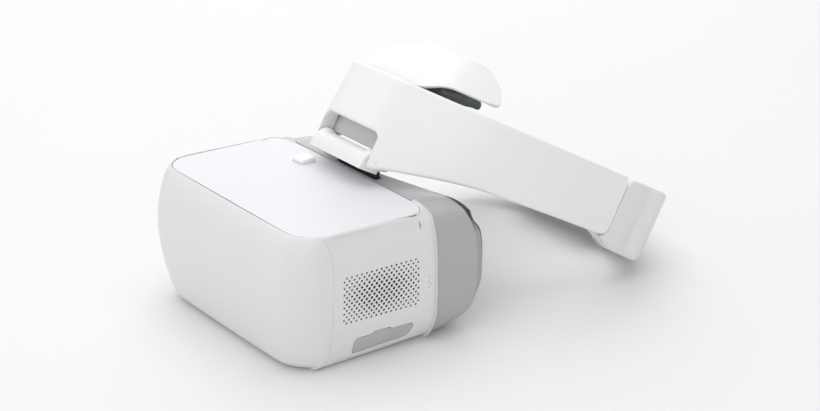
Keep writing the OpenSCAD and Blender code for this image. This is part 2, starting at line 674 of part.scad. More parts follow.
// ---------- rear module ----------
module rear_view(i, lift) {
  along_x(240) polygon([[arm_end + 0.4, 21.2 + i], [arm_end + 1.4, 16 + i], [arm_end + 10, 12.4 + i],
      [206, 11.6 + i],
    [213, 13 + i], [219, 16 + lift + i], [280, 16 + lift + i], [280, 62.6 - i], [234, 62.8 - i], [216,
        66.4 - i],
    [arm_end + 5, 66.9 - i], [arm_end + 1, 64 - i], [arm_end + 0.4, 58]]);
}
module rear_module() {
  color([0.88, 0.89, 0.89]) band_frame() difference() {
    union() {
      intersection() {
        ring_wall(0, -band_t + 2.1, 8, 72);
        rear_view(0, 0);
      }
      intersection() {
        ring_wall(rear_raise*0.5, -2, 13.8, 64.6);
        translate([-130, 199, 0]) cube([260, 90, 80]);
        rear_view(0, 0);
      }
      intersection() {
        ring_wall(rear_raise, 0, 16, 62.6);
        translate([-130, 203, 0]) cube([260, 90, 80]);
      }
    }
    intersection() {
      ring_wall(-2.4, -band_t - 1, 8, 72);
      rear_view(2.4, 0);
      translate([-130, arm_end - 5, 0]) cube([260, 90, 80]);
    }
    translate([0, band_l - 1, 40]) rotate([-90, 0, 0]) cylinder(r = 19.6, h = 20, $fn = 72);
    translate([0, band_l - 20, 40]) rotate([-90, 0, 0]) cylinder(r = 3.26, h = 30, $fn = 36);
  }
}
module rear_liner() {
  color([0.78, 0.79, 0.8]) band_frame() difference() {
    intersection() {
      ring_wall(-band_t + 2, -band_t, 8, 72);
      rear_view(0.3, 0);
    }
    translate([0, band_l - 30, 40]) rotate([-90, 0, 0]) cylinder(r = 6.6, h = 30, $fn = 36);
    for (sx = [-1, 1]) translate([sx*26, band_l - 30, 40]) rotate([-90, 0, 0]) cylinder(r = 2.56,
        h = 30, $fn = 24);
  }
}
module pad_carriage() {
  color([0.3, 0.31, 0.32]) band_frame() difference() {
    union() {
      translate([-42, band_l - band_t - 3.4, 22]) cube([84, 3, 36]);
      translate([0, band_l - band_t - 3.4, 40]) rotate([-90, 0, 0]) cylinder(r = 6.2, h = 13.4, $fn = 36);
      for (sx = [-1, 1]) translate([sx*26, band_l - band_t - 3.4, 40]) rotate([-90, 0, 0])
          cylinder(r = 2.5, h = 14.4, $fn = 24);
    }
    translate([0, band_l - band_t - 1.4, 40]) rotate([-90, 0, 0]) cylinder(r = 3.3, h = 20, $fn = 36);
  }
}
module rear_pad() {
  color([0.16, 0.16, 0.17]) band_frame() intersection() {
    translate([-46, band_l - band_t - 13.4, 18]) cube([92, 10, 44]);
    ring_solid(-band_t - 3, 10, 70);
  }
}
module adjust_dial() {
  color([0.55, 0.56, 0.57]) band_frame() translate([0, 0, 40]) rotate([-90, 0, 0]) {
    translate([0, 0, band_l - 0.4]) difference() {
      cylinder(r = 18.8, h = 10.2, $fn = 90);
      for (a = [0:12:348]) rotate([0, 0, a]) translate([19.2, 0, -1]) cylinder(r = 1, h = 13, $fn = 6);
    }
    translate([0, 0, band_l - 14.2]) cylinder(r = 3.2, h = 14, $fn = 36);
  }
}
module band_screws() {
  color([0.6, 0.6, 0.62]) band_frame() for (sx = [-1, 1]) for (n = [28, 58])
      translate([sx*(band_w/2 - band_t), 177.6, n]) rotate([0, sx*90, 0]) {
    translate([0, 0, -0.9]) cylinder(d = 4, h = 0.9, $fn = 24);
    translate([0, 0, -0.1]) cylinder(d = 2, h = 5, $fn = 16);
  }
}

front_shell();
side_panel_left();
side_panel_right();
top_cover();
bottom_cover();
rear_housing();
face_frame();
face_cushion();
touch_pad();
top_button();
power_button();
back_button();
port_cover();
io_board();
mainboard();
heat_sink();
fan_housing();
fan_rotor();
speaker();
display_panel();
display_carrier();
light_baffle();
eyepiece_plate();
proximity_window();
lens_carriage_left();
lens_left();
lens_carriage_right();
lens_right();
ipd_wheel();
case_screws();
hinge_neck();
hinge_block();
hinge_bracket();
hinge_pin();
band_shell();
band_liner();
forehead_plate();
forehead_pad();
battery_left();
battery_right();
band_board();
rear_module();
rear_liner();
pad_carriage();
rear_pad();
adjust_dial();
band_screws();
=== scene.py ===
"""Video goggles with a tilting headband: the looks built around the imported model."""
import math

import bmesh
import bpy
import numpy as np
from bpy.props import FloatProperty, FloatVectorProperty, PointerProperty
from mathutils import Matrix, Vector


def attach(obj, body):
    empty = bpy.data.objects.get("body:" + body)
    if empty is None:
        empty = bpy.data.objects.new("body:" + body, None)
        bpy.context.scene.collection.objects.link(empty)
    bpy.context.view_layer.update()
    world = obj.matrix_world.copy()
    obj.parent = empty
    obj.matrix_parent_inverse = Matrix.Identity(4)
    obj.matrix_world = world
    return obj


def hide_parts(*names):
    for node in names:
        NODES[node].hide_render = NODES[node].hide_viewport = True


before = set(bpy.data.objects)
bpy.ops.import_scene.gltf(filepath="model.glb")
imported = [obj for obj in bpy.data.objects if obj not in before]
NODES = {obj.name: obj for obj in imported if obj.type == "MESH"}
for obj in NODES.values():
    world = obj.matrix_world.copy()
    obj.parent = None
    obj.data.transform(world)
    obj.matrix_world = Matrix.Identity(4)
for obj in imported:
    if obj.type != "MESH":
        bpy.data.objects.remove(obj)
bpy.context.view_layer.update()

bl_info = {
    "name": "Video goggles",
    "version": (1, 0, 0),
    "blender": (4, 5, 0),
    "location": "View3D > Sidebar > Goggles",
    "description": "Builds the shells, pads and finishes of a pair of video goggles",
    "category": "Object",
}

MM = 0.001


# ---------------------------------------------------------------- curves
def through(x, xs, ys):
    """A smooth curve through the points (xs, ys), read at x."""
    xs, ys = np.asarray(xs, float), np.asarray(ys, float)
    slope = np.gradient(ys, xs)
    x = np.clip(x, xs[0], xs[-1])
    i = np.clip(np.searchsorted(xs, x) - 1, 0, len(xs) - 2)
    h = xs[i + 1] - xs[i]
    t = (x - xs[i]) / h
    return ((2 * t**3 - 3 * t**2 + 1) * ys[i] + (t**3 - 2 * t**2 + t) * h * slope[i]
            + (3 * t**2 - 2 * t**3) * ys[i + 1] + (t**3 - t**2) * h * slope[i + 1])


def ease(t):
    """Smooth step from 0 to 1."""
    t = np.clip(t, 0, 1)
    return t * t * (3 - 2 * t)


def rounded_outline(corners, radius, steps=5):
    """A closed outline whose corners are rounded."""
    out, n = [], len(corners)
    for k in range(n):
        p, a, b = (np.array(corners[(k + d) % n], float) for d in (0, -1, 1))
        u, v = a - p, b - p
        lu, lv = np.linalg.norm(u), np.linalg.norm(v)
        u, v = u / lu, v / lv
        r = min(radius, 0.42 * lu, 0.42 * lv)
        for t in np.linspace(0, 1, steps):
            out.append((1 - t) ** 2 * (p + u * r) + 2 * t * (1 - t) * p + t * t * (p + v * r))
    return np.array(out)


# ---------------------------------------------------------------- meshes
def make(name, points, faces, angle=40, weighted=True):
    """A mesh object in the row frame from points in millimetres."""
    mesh = bpy.data.meshes.new(name)
    mesh.from_pydata((np.asarray(points, float) * MM).tolist(), [], [list(map(int, f)) for f in faces])
    tidy(mesh, angle)
    obj = bpy.data.objects.new(name, mesh)
    bpy.context.scene.collection.objects.link(obj)
    if weighted:
        soften = obj.modifiers.new("weighted", "WEIGHTED_NORMAL")
        soften.keep_sharp = True
    return obj


def tidy(mesh, angle=40):
    """Welds doubled points, turns faces outwards and marks the sharp edges."""
    b = bmesh.new()
    b.from_mesh(mesh)
    bmesh.ops.remove_doubles(b, verts=b.verts, dist=2e-6)
    bmesh.ops.dissolve_degenerate(b, edges=b.edges, dist=1e-7)
    loose = [v for v in b.verts if not v.link_faces]
    bmesh.ops.delete(b, geom=loose, context="VERTS")
    bmesh.ops.recalc_face_normals(b, faces=b.faces)
    b.to_mesh(mesh)
    b.free()
    mesh.shade_smooth()
    mesh.set_sharp_from_angle(angle=math.radians(angle))


def bake(obj, angle=40):
    """Turns an object's modifiers into its mesh."""
    dg = bpy.context.evaluated_depsgraph_get()
    mesh = bpy.data.meshes.new_from_object(obj.evaluated_get(dg))
    obj.modifiers.clear()
    obj.data = mesh
    tidy(mesh, angle)
    return obj


def combine(obj, cutter, operation="DIFFERENCE", angle=40):
    """Cuts one mesh with another, or keeps only their overlap."""
    cut = obj.modifiers.new("cut", "BOOLEAN")
    cut.operation, cut.object, cut.solver = operation, cutter, "EXACT"
    bake(obj, angle)
    bpy.data.objects.remove(cutter)
    return obj


def weight(obj):
    obj.modifiers.new("weighted", "WEIGHTED_NORMAL").keep_sharp = True
    return obj


def round_edges(obj, width, segments=2, angle=35):
    rim = obj.modifiers.new("rim", "BEVEL")
    rim.width, rim.segments = width * MM, segments
    rim.limit_method, rim.angle_limit = "ANGLE", math.radians(angle)
    rim.harden_normals = False
    return obj


def joined(parts):
    """Several (points, faces) lists as one."""
    points, faces, base = [], [], 0
    for p, f in parts:
        points.append(np.asarray(p, float))
        faces += [[i + base for i in face] for face in f]
        base += len(p)
    return np.vstack(points), faces


def prism(outline, axis, low, high):
    """A straight prism: an outline in the two other axes, pushed along one axis."""
    n = len(outline)
    rest = [i for i in range(3) if i != axis]
    points = np.zeros((2 * n, 3))
    for k, level in enumerate((low, high)):
        points[k * n:(k + 1) * n, rest[0]] = outline[:, 0]
        points[k * n:(k + 1) * n, rest[1]] = outline[:, 1]
        points[k * n:(k + 1) * n, axis] = level
    faces = [list(range(n)), list(range(n, 2 * n))]
    faces += [[i, (i + 1) % n, n + (i + 1) % n, n + i] for i in range(n)]
    return points, faces


def disc(cy, cz, radius, steps=20):
    a = np.linspace(0, 2 * math.pi, steps, endpoint=False)
    return np.stack([cy + radius * np.cos(a), cz + radius * np.sin(a)], 1)


def grid_normals(p, centre, closed):
    """Unit normals of a grid of points, away from the centre."""
    if closed:
        ring = np.concatenate([p[:, -1:], p, p[:, :1]], 1)
        across = (ring[:, 2:] - ring[:, :-2])
    else:
        across = np.gradient(p, axis=1)
    n = np.cross(np.gradient(p, axis=0), across)
    n /= np.maximum(np.linalg.norm(n, axis=2, keepdims=True), 1e-9)
    away = np.sum((p - np.asarray(centre, float)) * n)
    return n if away > 0 else -n


def shell(p, thickness, chamfer, centre, closed=False, inner=None, skip=None):
    """A closed shell from a grid of points: outer skin, inner skin and a rounded rim.
    Returns points, faces, and the index tables of the outer and inner skins."""
    p = np.asarray(p, float).copy()
    rows, cols = p.shape[:2]
    n = grid_normals(p, centre, closed)
    inside = p - n * thickness if inner is None else inner
    drop = p + (inside - p) * (chamfer / thickness)
    outer = p.copy()

    def pull(edge, nextrow):
        d = nextrow - edge
        return edge + d / np.maximum(np.linalg.norm(d, axis=-1, keepdims=True), 1e-9) * chamfer

    outer[0], outer[-1] = pull(p[0], p[1]), pull(p[-1], p[-2])
    if not closed:
        outer[:, 0] = pull(outer[:, 0], outer[:, 1])
        outer[:, -1] = pull(outer[:, -1], outer[:, -2])
    index = np.arange(rows * cols).reshape(rows, cols)
    points = [outer.reshape(-1, 3), inside.reshape(-1, 3)]
    low = index + rows * cols
    faces = []
    last = cols if closed else cols - 1
    for i in range(rows - 1):
        for j in range(last):
            k = (j + 1) % cols
            if skip is None or not skip(i, j):
                faces.append([index[i, j], index[i + 1, j], index[i + 1, k], index[i, k]])
                faces.append([low[i, j], low[i, k], low[i + 1, k], low[i + 1, j]])
    if closed:
        loops = [[(0, j) for j in range(cols)], [(rows - 1, j) for j in range(cols)]]
    else:
        loops = [[(0, j) for j in range(cols)] + [(i, cols - 1) for i in range(1, rows)]
                 + [(rows - 1, j) for j in range(cols - 2, -1, -1)] + [(i, 0) for i in range(rows - 2, 0,
                                                                                             -1)]]
    base = 2 * rows * cols
    for loop in loops:
        m = len(loop)
        points.append(np.array([drop[a] for a in loop]))
        for k in range(m):
            a, b = loop[k], loop[(k + 1) % m]
            e, f = base + k, base + (k + 1) % m
            faces.append([index[a], index[b], f, e])
            faces.append([e, f, low[b], low[a]])
        base += m
    return np.vstack(points), faces, index, low


def tube(sections, close_ends=True):
    """A closed solid through a list of closed sections with equal point counts."""
    s = np.asarray(sections, float)
    rows, cols = s.shape[:2]
    faces = []
    for i in range(rows - 1):
        for j in range(cols):
            k = (j + 1) % cols
            faces.append([i * cols + j, i * cols + k, (i + 1) * cols + k, (i + 1) * cols + j])
    if close_ends:
        faces.append(list(range(cols)))
        faces.append(list(range((rows - 1) * cols, rows * cols)))
    else:
        last = (rows - 1) * cols
        for j in range(cols):
            k = (j + 1) % cols
            faces.append([last + j, last + k, k, j])
    return s.reshape(-1, 3), faces


def place(obj, body, material, slot, *nodes):
    """Gives a piece its finish, its body and the CAD nodes it stands for."""
    obj.data.materials.clear()
    obj.data.materials.append(material)
    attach(obj, body)
    if nodes:
        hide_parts(*nodes)
    return obj


# ---------------------------------------------------------------- shader maths
class Value:
    """A shader socket that can be used in plain arithmetic."""

    def __init__(self, tree, socket):
        self.tree, self.socket = tree, socket

    def _math(self, operation, other=None, swap=False):
        node = self.tree.nodes.new("ShaderNodeMath")
        node.operation = operation
        for k, v in enumerate((other, self) if swap else (self, other)):
            if isinstance(v, Value):
                self.tree.links.new(v.socket, node.inputs[k])
            elif v is not None:
                node.inputs[k].default_value = v
        return Value(self.tree, node.outputs[0])

    def __add__(self, o): return self._math("ADD", o)
    def __sub__(self, o): return self._math("SUBTRACT", o)
    def __mul__(self, o): return self._math("MULTIPLY", o)
    def __truediv__(self, o): return self._math("DIVIDE", o)
    def __radd__(self, o): return self._math("ADD", o)
    def __rsub__(self, o): return self._math("SUBTRACT", o, True)
    def __rmul__(self, o): return self._math("MULTIPLY", o)
    def __rtruediv__(self, o): return self._math("DIVIDE", o, True)
    def __pow__(self, o): return self._math("POWER", o)
    def __gt__(self, o): return self._math("GREATER_THAN", o)
    def __lt__(self, o): return self._math("LESS_THAN", o)
    def sin(self): return self._math("SINE")
    def clip(self): return self._math("MAXIMUM", 0.0)._math("MINIMUM", 1.0)


class Finish:
    """A material and the few calls that build its nodes."""

    def __init__(self, name):
        self.material = bpy.data.materials.new(name)
        self.material.use_nodes = True
        self.tree = self.material.node_tree
        self.tree.nodes.clear()
        self.place = self.node("ShaderNodeTexCoord", {}, {}, "Object")

    def node(self, kind, settings, sockets, output=0):
        node = self.tree.nodes.new(kind)
        for key, value in settings.items():
            if key == "stops":
                ramp = node.color_ramp
                for k, (at, color) in enumerate(value):
                    e = ramp.elements[k] if k < 2 else ramp.elements.new(at)
                    e.position, e.color = at, color
            else:
                setattr(node, key, value)
        for key, value in sockets.items():
            if isinstance(value, Value):
                self.tree.links.new(value.socket, node.inputs[key])
            else:
                node.inputs[key].default_value = value
        return Value(self.tree, node.outputs[output])

    def noise(self, scale, detail=3.0, rough=0.55, at=None):
        return self.node("ShaderNodeTexNoise", {},
                         {"Vector": at or self.place, "Scale": scale, "Detail": detail, "Roughness": rough},
                         "Fac")

    def axes(self):
        split = self.node("ShaderNodeSeparateXYZ", {}, {"Vector": self.place})
        return [Value(self.tree, o) for o in split.socket.node.outputs]

    def stretch(self, x, y, z):
        return self.node("ShaderNodeVectorMath", {"operation": "MULTIPLY"}, {0: self.place, 1: (x, y, z)})

    def mix(self, factor, a, b):
        return self.node("ShaderNodeMix", {"data_type": "RGBA"}, {0: factor, 6: a, 7: b}, 2)

    def bump(self, height, distance, strength=1.0, normal=None):
        sockets = {"Height": height, "Distance": distance, "Strength": strength}
        if normal is not None:
            sockets["Normal"] = normal
        return self.node("ShaderNodeBump", {}, sockets)

    def surface(self, **sockets):
        named = {key.replace("_", " "): value for key, value in sockets.items()}
        shader = self.node("ShaderNodeBsdfPrincipled", {}, named)
        self.node_out(shader)
        return self.material

    def node_out(self, shader):
        out = self.tree.nodes.new("ShaderNodeOutputMaterial")
        self.tree.links.new(shader.socket, out.inputs["Surface"])


def rgb(color, scale=1.0):
    return (color[0] * scale, color[1] * scale, color[2] * scale, 1.0)


def moulded(name, color, rough=0.42, grain=0.012, spread=0.025, coat=0.0):
    """Moulded plastic with fine spark grain, faint flow clouds and rubbed patches."""
    f = Finish(name)
    cloud = f.noise(22.0, 3.0)
    fine = f.noise(2600.0, 2.0, 0.6)
    pores = f.noise(900.0, 3.0, 0.6)
    tone = f.mix((cloud - 0.3) * 1.6 + (pores - 0.5) * 0.25, rgb(color, 1 - spread),
                 rgb(color, 1 + spread * 0.6))
    gloss = rough + (cloud - 0.5) * 0.10 + (fine - 0.5) * 0.08
    return f.surface(Base_Color=tone, Roughness=gloss, Coat_Weight=coat, Coat_Roughness=0.18,
                     Normal=f.bump(fine + pores * 0.6, grain * MM))


def dark_foam(name, color, cell=1500.0):
    """Soft foam skin: fine open cells over slow swelling."""
    f = Finish(name)
    cells = f.node("ShaderNodeTexVoronoi", {"feature": "F1"}, {"Vector": f.place, "Scale": cell}, "Distance")
    slow = f.noise(60.0, 3.0)
    tone = f.mix(cells * 1.2 + slow * 0.3, rgb(color, 0.55), rgb(color, 1.7))
    return f.surface(Base_Color=tone, Roughness=0.86 + (slow - 0.5) * 0.12, Sheen_Weight=0.35,
                     Sheen_Roughness=0.5, Normal=f.bump(cells + slow * 2.0, 0.14 * MM))


def knitted(name, color, pitch=0.9):
    """Knitted cloth over foam: crossing threads with a fuzzy colour change."""
    f = Finish(name)
    x, y, z = f.axes()
    k = 2 * math.pi / (pitch * MM)
    wale = ((x * k).sin() * 0.5 + 0.5)
    course = (((z + y * 0.6) * k + (x * (k * 0.5)).sin() * 0.7).sin() * 0.5 + 0.5)
    thread = wale * 0.5 + course * 0.5
    fuzz = f.noise(3200.0, 2.0)
    wear = f.noise(45.0, 3.0)
    tone = f.mix(thread * 0.75 + fuzz * 0.35, rgb(color, 0.5), rgb(color, 1.75))
    return f.surface(Base_Color=tone, Roughness=0.8 + (wear - 0.5) * 0.15, Sheen_Weight=0.5,
                     Sheen_Roughness=0.45, Normal=f.bump(thread + fuzz * 0.3, 0.16 * MM))


def soft_rubber(name, color):
    """Matt rubber: velvety grain and light dusting."""
    f = Finish(name)
    dust, fine = f.noise(70.0, 4.0), f.noise(3400.0, 2.0)
    tone = f.mix((dust - 0.35) * 1.5, rgb(color, 0.93), rgb(color, 1.06))
    return f.surface(Base_Color=tone, Roughness=0.72 + (dust - 0.5) * 0.15, Specular_IOR_Level=0.35,
                     Normal=f.bump(fine, 0.012 * MM))


def metal(name, color, rough=0.3, along=(1.0, 40.0, 40.0)):
    """Machined metal with fine lines along one way."""
    f = Finish(name)
    lines = f.noise(160.0, 4.0, 0.7, f.stretch(*along))
    stain = f.noise(55.0, 3.0)
    tone = f.mix(lines * 0.7 + stain * 0.3, rgb(color, 0.8), rgb(color, 1.1))
    return f.surface(Base_Color=tone, Metallic=1.0, Roughness=rough + (lines - 0.5) * 0.22,
                     Normal=f.bump(lines, 0.006 * MM))


def circuit_board(name, axis, low, high):
    """Green solder mask with traces and pads; what stands above the board is black packages."""
    f = Finish(name)
    at = f.axes()[axis]
    part = (at < low * MM) + (at > high * MM)
    trace = f.node("ShaderNodeTexBrick", {"offset": 0.4},
                   {"Vector": f.stretch(1.0, 1.0, 1.0), "Scale": 420.0, "Mortar Size": 0.05,
                   "Color1": (0.012, 0.085, 0.04, 1), "Color2": (0.016, 0.105, 0.05, 1),
                   "Mortar": (0.05, 0.22, 0.10, 1)}, "Color")
    dots = f.node("ShaderNodeTexVoronoi", {"feature": "F1"}, {"Vector": f.place, "Scale": 330.0}, "Distance")
    pads = dots < 0.16
    board = f.mix(pads, trace, (0.75, 0.68, 0.42, 1))
    grain = f.noise(1800.0, 2.0)
    package = f.mix(grain, (0.012, 0.012, 0.013, 1), (0.035, 0.035, 0.037, 1))
    return f.surface(Base_Color=f.mix(part.clip(), board, package), Roughness=0.34 + grain * 0.25,
                     Normal=f.bump(dots + grain * 0.4, 0.02 * MM))


def glass_with_painted_reflection(name, tint):
    """A polished lens: clear, with dust and a faint coating bloom painted as a bluish reflection that grows
    where the surface turns from the view.
    """
    f = Finish(name)
    dust = f.noise(500.0, 4.0)
    # painted reflection: the colour turns bluish as the surface turns away from the view
    edge = f.node("ShaderNodeLayerWeight", {}, {"Blend": 0.35}, "Facing")
    tone = f.mix(edge, rgb(tint), (0.45, 0.52, 0.75, 1))
    return f.surface(Base_Color=tone, Roughness=0.03 + dust * 0.03, IOR=1.5, Transmission_Weight=0.92,
                     Coat_Weight=0.5, Coat_Roughness=0.02)


def dark_screen(name, color):
    f = Finish(name)
    rows = f.node("ShaderNodeTexWave", {"bands_direction": "Z"}, {"Vector": f.place, "Scale": 900.0}, "Fac")
    smear = f.noise(40.0, 3.0)
    tone = f.mix(rows, rgb(color, 0.7), rgb(color, 1.5))
    return f.surface(Base_Color=tone, Roughness=0.06 + (smear - 0.4) * 0.08, Coat_Weight=0.6,
                     Coat_Roughness=0.03)


def shrink_wrap(name, color):
    f = Finish(name)
    folds = f.noise(120.0, 4.0, 0.6, f.stretch(1.0, 0.3, 1.0))
    tone = f.mix(folds, rgb(color, 0.75), rgb(color, 1.2))
    return f.surface(Base_Color=tone, Roughness=0.28 + folds * 0.18, Coat_Weight=0.3, Coat_Roughness=0.2,
                     Normal=f.bump(folds, 0.12 * MM))


def rim_with_painted_shade(name, brow, side, low, high):
    """The face rim: grey down the cheeks, with painted shade that darkens it to charcoal at the brow."""
    f = Finish(name)
    x, y, z = f.axes()
    grain, cloud = f.noise(2400.0, 2.0), f.noise(30.0, 3.0)
    # painted shade: the mix runs from the rim's grey to the dark brow colour as the height rises from low to
    # high
    painted_shade_rise = ((z - low * MM) * (1 / ((high - low) * MM)) + (cloud - 0.5) * 0.06).clip()
    tone = f.mix(painted_shade_rise, rgb(side), rgb(brow))
    return f.surface(Base_Color=tone, Roughness=0.5 + (cloud - 0.5) * 0.1, Normal=f.bump(grain, 0.01 * MM))


FINISHES = {}


def finish(name):
    """The finish of that name, made on first use from the colour settings."""
    if name in FINISHES:
        return FINISHES[name]
    c = bpy.context.scene.goggles_colours
    makers = {
        "white": lambda: moulded("white_plastic", c.white, 0.36, 0.008, 0.012),
        "cover": lambda: moulded("cover_plastic", c.cover, 0.48, 0.014, 0.012),
        "band": lambda: moulded("band_plastic", c.band, 0.36, 0.008, 0.012),
        "button": lambda: moulded("button_plastic", c.button, 0.3, 0.005, 0.01, 0.15),
        "underside": lambda: moulded("underside_plastic", c.underside, 0.55, 0.03, 0.03),
        "housing": lambda: moulded("housing_paint", c.housing, 0.33, 0.006, 0.012),
        "liner": lambda: moulded("liner_plastic", c.liner, 0.5, 0.03, 0.03),
        "rear": lambda: moulded("rear_plastic", c.rear, 0.42, 0.01, 0.015),
        # painted shade: the strip in the cover's groove is dark to stand in for the groove's shade
        "groove_shade": lambda: moulded("groove_shade_strip", c.groove_shade, 0.6, 0.01, 0.05),
        "black": lambda: moulded("black_plastic", c.black, 0.5, 0.03, 0.2),
        "dial": lambda: moulded("dial_plastic", c.dial, 0.5, 0.02, 0.06),
        "touch": lambda: moulded("touch_plastic", c.touch, 0.22, 0.003, 0.01, 0.3),
        "port": lambda: soft_rubber("port_rubber", c.port),
        "foam": lambda: dark_foam("face_foam", c.foam),
        "pad": lambda: knitted("pad_cloth", c.pad),
        "steel": lambda: metal("bright_steel", (0.62, 0.62, 0.64), 0.26),
        "aluminium": lambda: metal("machined_aluminium", (0.74, 0.75, 0.77), 0.34, (40.0, 1.0, 1.0)),
        "mainboard": lambda: circuit_board("mainboard_mask", 1, -60.0, -50.38),
        "io": lambda: circuit_board("port_board_mask", 2, 0.0, 12.02),
        "band_board": lambda: circuit_board("band_board_mask", 1, -60.0, 400.0),
        "lens": lambda: glass_with_painted_reflection("lens_glass", (0.92, 0.96, 0.97)),
        "screen": lambda: dark_screen("screen_glass", (0.012, 0.012, 0.02)),
        "window": lambda: dark_screen("sensor_window", (0.02, 0.006, 0.012)),
        "wrap": lambda: shrink_wrap("battery_wrap", (0.035, 0.09, 0.24)),
        # the face rim's finish paints shade onto the rim at the brow, from 72 mm up to 88 mm
        "rim": lambda: rim_with_painted_shade("face_rim", c.rim_brow_painted_shade, c.rim_side, 72.0, 88.0),
    }
    FINISHES[name] = makers[name]()
    return FINISHES[name]


# ---------------------------------------------------------------- display unit outline
# Level of the front, front edge, half width at the front seam, plan corner radius,
# rear half width, rear level.
LEVELS = np.array([
    (0.0, -52.0, 76.0, 22.0, 75.4, 0.0),
    (0.0, -56.0, 79.5, 23.5, 79.5, 0.3),
    (0.5, -60.0, 82.8, 25.0, 83.6, 1.6),
    (2.3, -64.4, 85.6, 26.4, 87.2, 3.9),
    (6.0, -68.0, 88.1, 27.4, 90.6, 7.6),
    (12.0, -70.2, 90.0, 27.7, 93.6, 12.6),
    (20.0, -72.2, 91.5, 27.8, 97.0, 20.0),
    (30.0, -74.2, 93.1, 27.8, 98.1, 30.0),
    (40.0, -75.6, 94.0, 27.6, 98.5, 40.0),
    (50.0, -76.3, 94.7, 27.0, 98.5, 50.0),
    (60.0, -76.4, 95.0, 26.5, 98.3, 60.0),
    (70.0, -75.4, 95.0, 25.8, 97.9, 70.0),
    (77.5, -73.8, 94.8, 25.3, 97.1, 77.0),
    (86.0, -71.6, 94.3, 24.6, 95.6, 84.0),
    (93.4, -68.7, 93.6, 23.9, 93.6, 88.5),
    (97.2, -66.2, 92.9, 23.0, 92.7, 90.1),
    (98.8, -64.6, 92.2, 22.3, 91.8, 91.3),
    (99.3, -63.6, 91.4, 21.6, 90.9, 92.2),
])
KEYS = np.concatenate([[0], np.cumsum(np.linalg.norm(np.diff(LEVELS[:, :3], axis=0), axis=1))])
TOP_FRONT, TOP_REAR, SEAM_Y, GROOVE, SEAM_GAP = 99.4, 97.3, 40.0, 0.8, 0.1
COVER_FRONT, COVER_HALF, COVER_R = -62.6, 90.5, 21.0
COVER_BEND, COVER_FLAT = 26.0, 70.0


def level(s):
    return [through(s, KEYS, LEVELS[:, k]) for k in range(6)]


def key_of(z):
    """The level key whose front height is z."""
    s = np.linspace(KEYS[3], KEYS[-1], 2000)
    return np.interp(z, through(s, KEYS, LEVELS[:, 0]), s)


def wall(s, y):
    """A point of the left side wall at level key s and depth y."""
    z, f, w, r, xr, zr = level(s)
    y0 = f + r
    g = np.clip((y - y0) / (SEAM_Y - y0), 0, 1.2)
    top = ease((z - 84) / 15)
    tilt = -(TOP_FRONT - TOP_REAR) * np.clip((z - 60) / 39, 0, 1) ** 2
    x = w + (xr - w) * g ** (1.15 + 5 * top)
    return np.stack([x, y + 0 * s, z + tilt * g + (zr - z - tilt) * g ** (1.15 + 5 * top)], -1)


def wall_x(y, z):
    """How far out the left wall is at depth y and height z."""
    s = np.linspace(0, KEYS[-1], 400)
    y, z = np.broadcast_arrays(np.asarray(y, float), np.asarray(z, float))
    out = np.empty(y.shape)
    for k in np.ndindex(y.shape):
        p = wall(s, y[k])
        out[k] = np.interp(z[k], p[:, 2], p[:, 0])
    return out


def plane_z(y):
    return TOP_FRONT - (TOP_FRONT - TOP_REAR) * (y - COVER_FRONT) / (SEAM_Y - COVER_FRONT)


def cover_half(y):
    """Half width of the top cover at depth y."""
    y = np.asarray(y, float)
    inset = np.minimum(y, COVER_FRONT + COVER_R) - COVER_FRONT - COVER_R
    front = COVER_HALF - COVER_R + np.sqrt(np.clip(COVER_R**2 - inset ** 2, 0, None))
    t = np.clip((y - COVER_BEND) / (SEAM_Y - GROOVE - COVER_BEND), 0, 1)
    rear = COVER_FLAT + (COVER_HALF - COVER_FLAT) * (1 - t**2.1) ** (1 / 2.1)
    return np.minimum(front, rear)


def seam_depth(z):
    """Depth of the seam between front shell and side panels."""
    return through(z, [0, 6, 12, 22, 40, 60, 80, 93, 100],
                   [-50, -48.5, -44.9, -42.7, -42.4, -42.4, -42.7, -45.7, -49.7])


def level_keys(fine):
    """Level keys from the underside to the top edge; fine adds the grille's lattice."""
    lo, hi = key_of(VENT_Z0), key_of(VENT_Z1)
    mid = key_of(np.linspace(VENT_Z0, VENT_Z1, 4 * VENT_ROWS + 1 if fine else 19))
    return np.concatenate([np.linspace(0, lo, 30)[:-1], mid, np.linspace(hi, KEYS[-1], 30)[1:]])


# ---------------------------------------------------------------- vent grille
PITCH_Y, PITCH_Z, VENT_Y, VENT_Z = 3.95, 4.75, -4.3, 50.65
VENT_ROWS, VENT_COLS = 15, 16
VENT_Y0 = VENT_Y - 8 * PITCH_Y
VENT_Z0, VENT_Z1 = VENT_Z - 7.5 * PITCH_Z / 2, VENT_Z + 7.5 * PITCH_Z / 2
CELL = [(4, 2), (4, 3), (4, 4), (3, 4), (2, 4), (1, 4), (0, 4), (0, 3), (0, 2), (0, 1), (0, 0), (1, 0),
        (2, 0), (3, 0), (4, 0), (4, 1)]


def vent_cells():
    """Lattice corner, and hole radius, depth share and open or not, of each grille hole."""
    for r in range(VENT_ROWS):
        count = VENT_COLS if r % 2 else VENT_COLS - 1
        for c in range(count):
            i0 = 4 * c + (0 if r % 2 else 2)
            y = VENT_Y0 + (i0 + 2) * PITCH_Y / 4
            z = VENT_Z0 + (4 * r + 2) * PITCH_Z / 8
            e = math.hypot((y - VENT_Y) / 30, (z - VENT_Z) / 16.5)
            yield i0, 4 * r, 1.14 - 0.38 * float(ease((e - 0.3) / 1.0)), True, 0.8


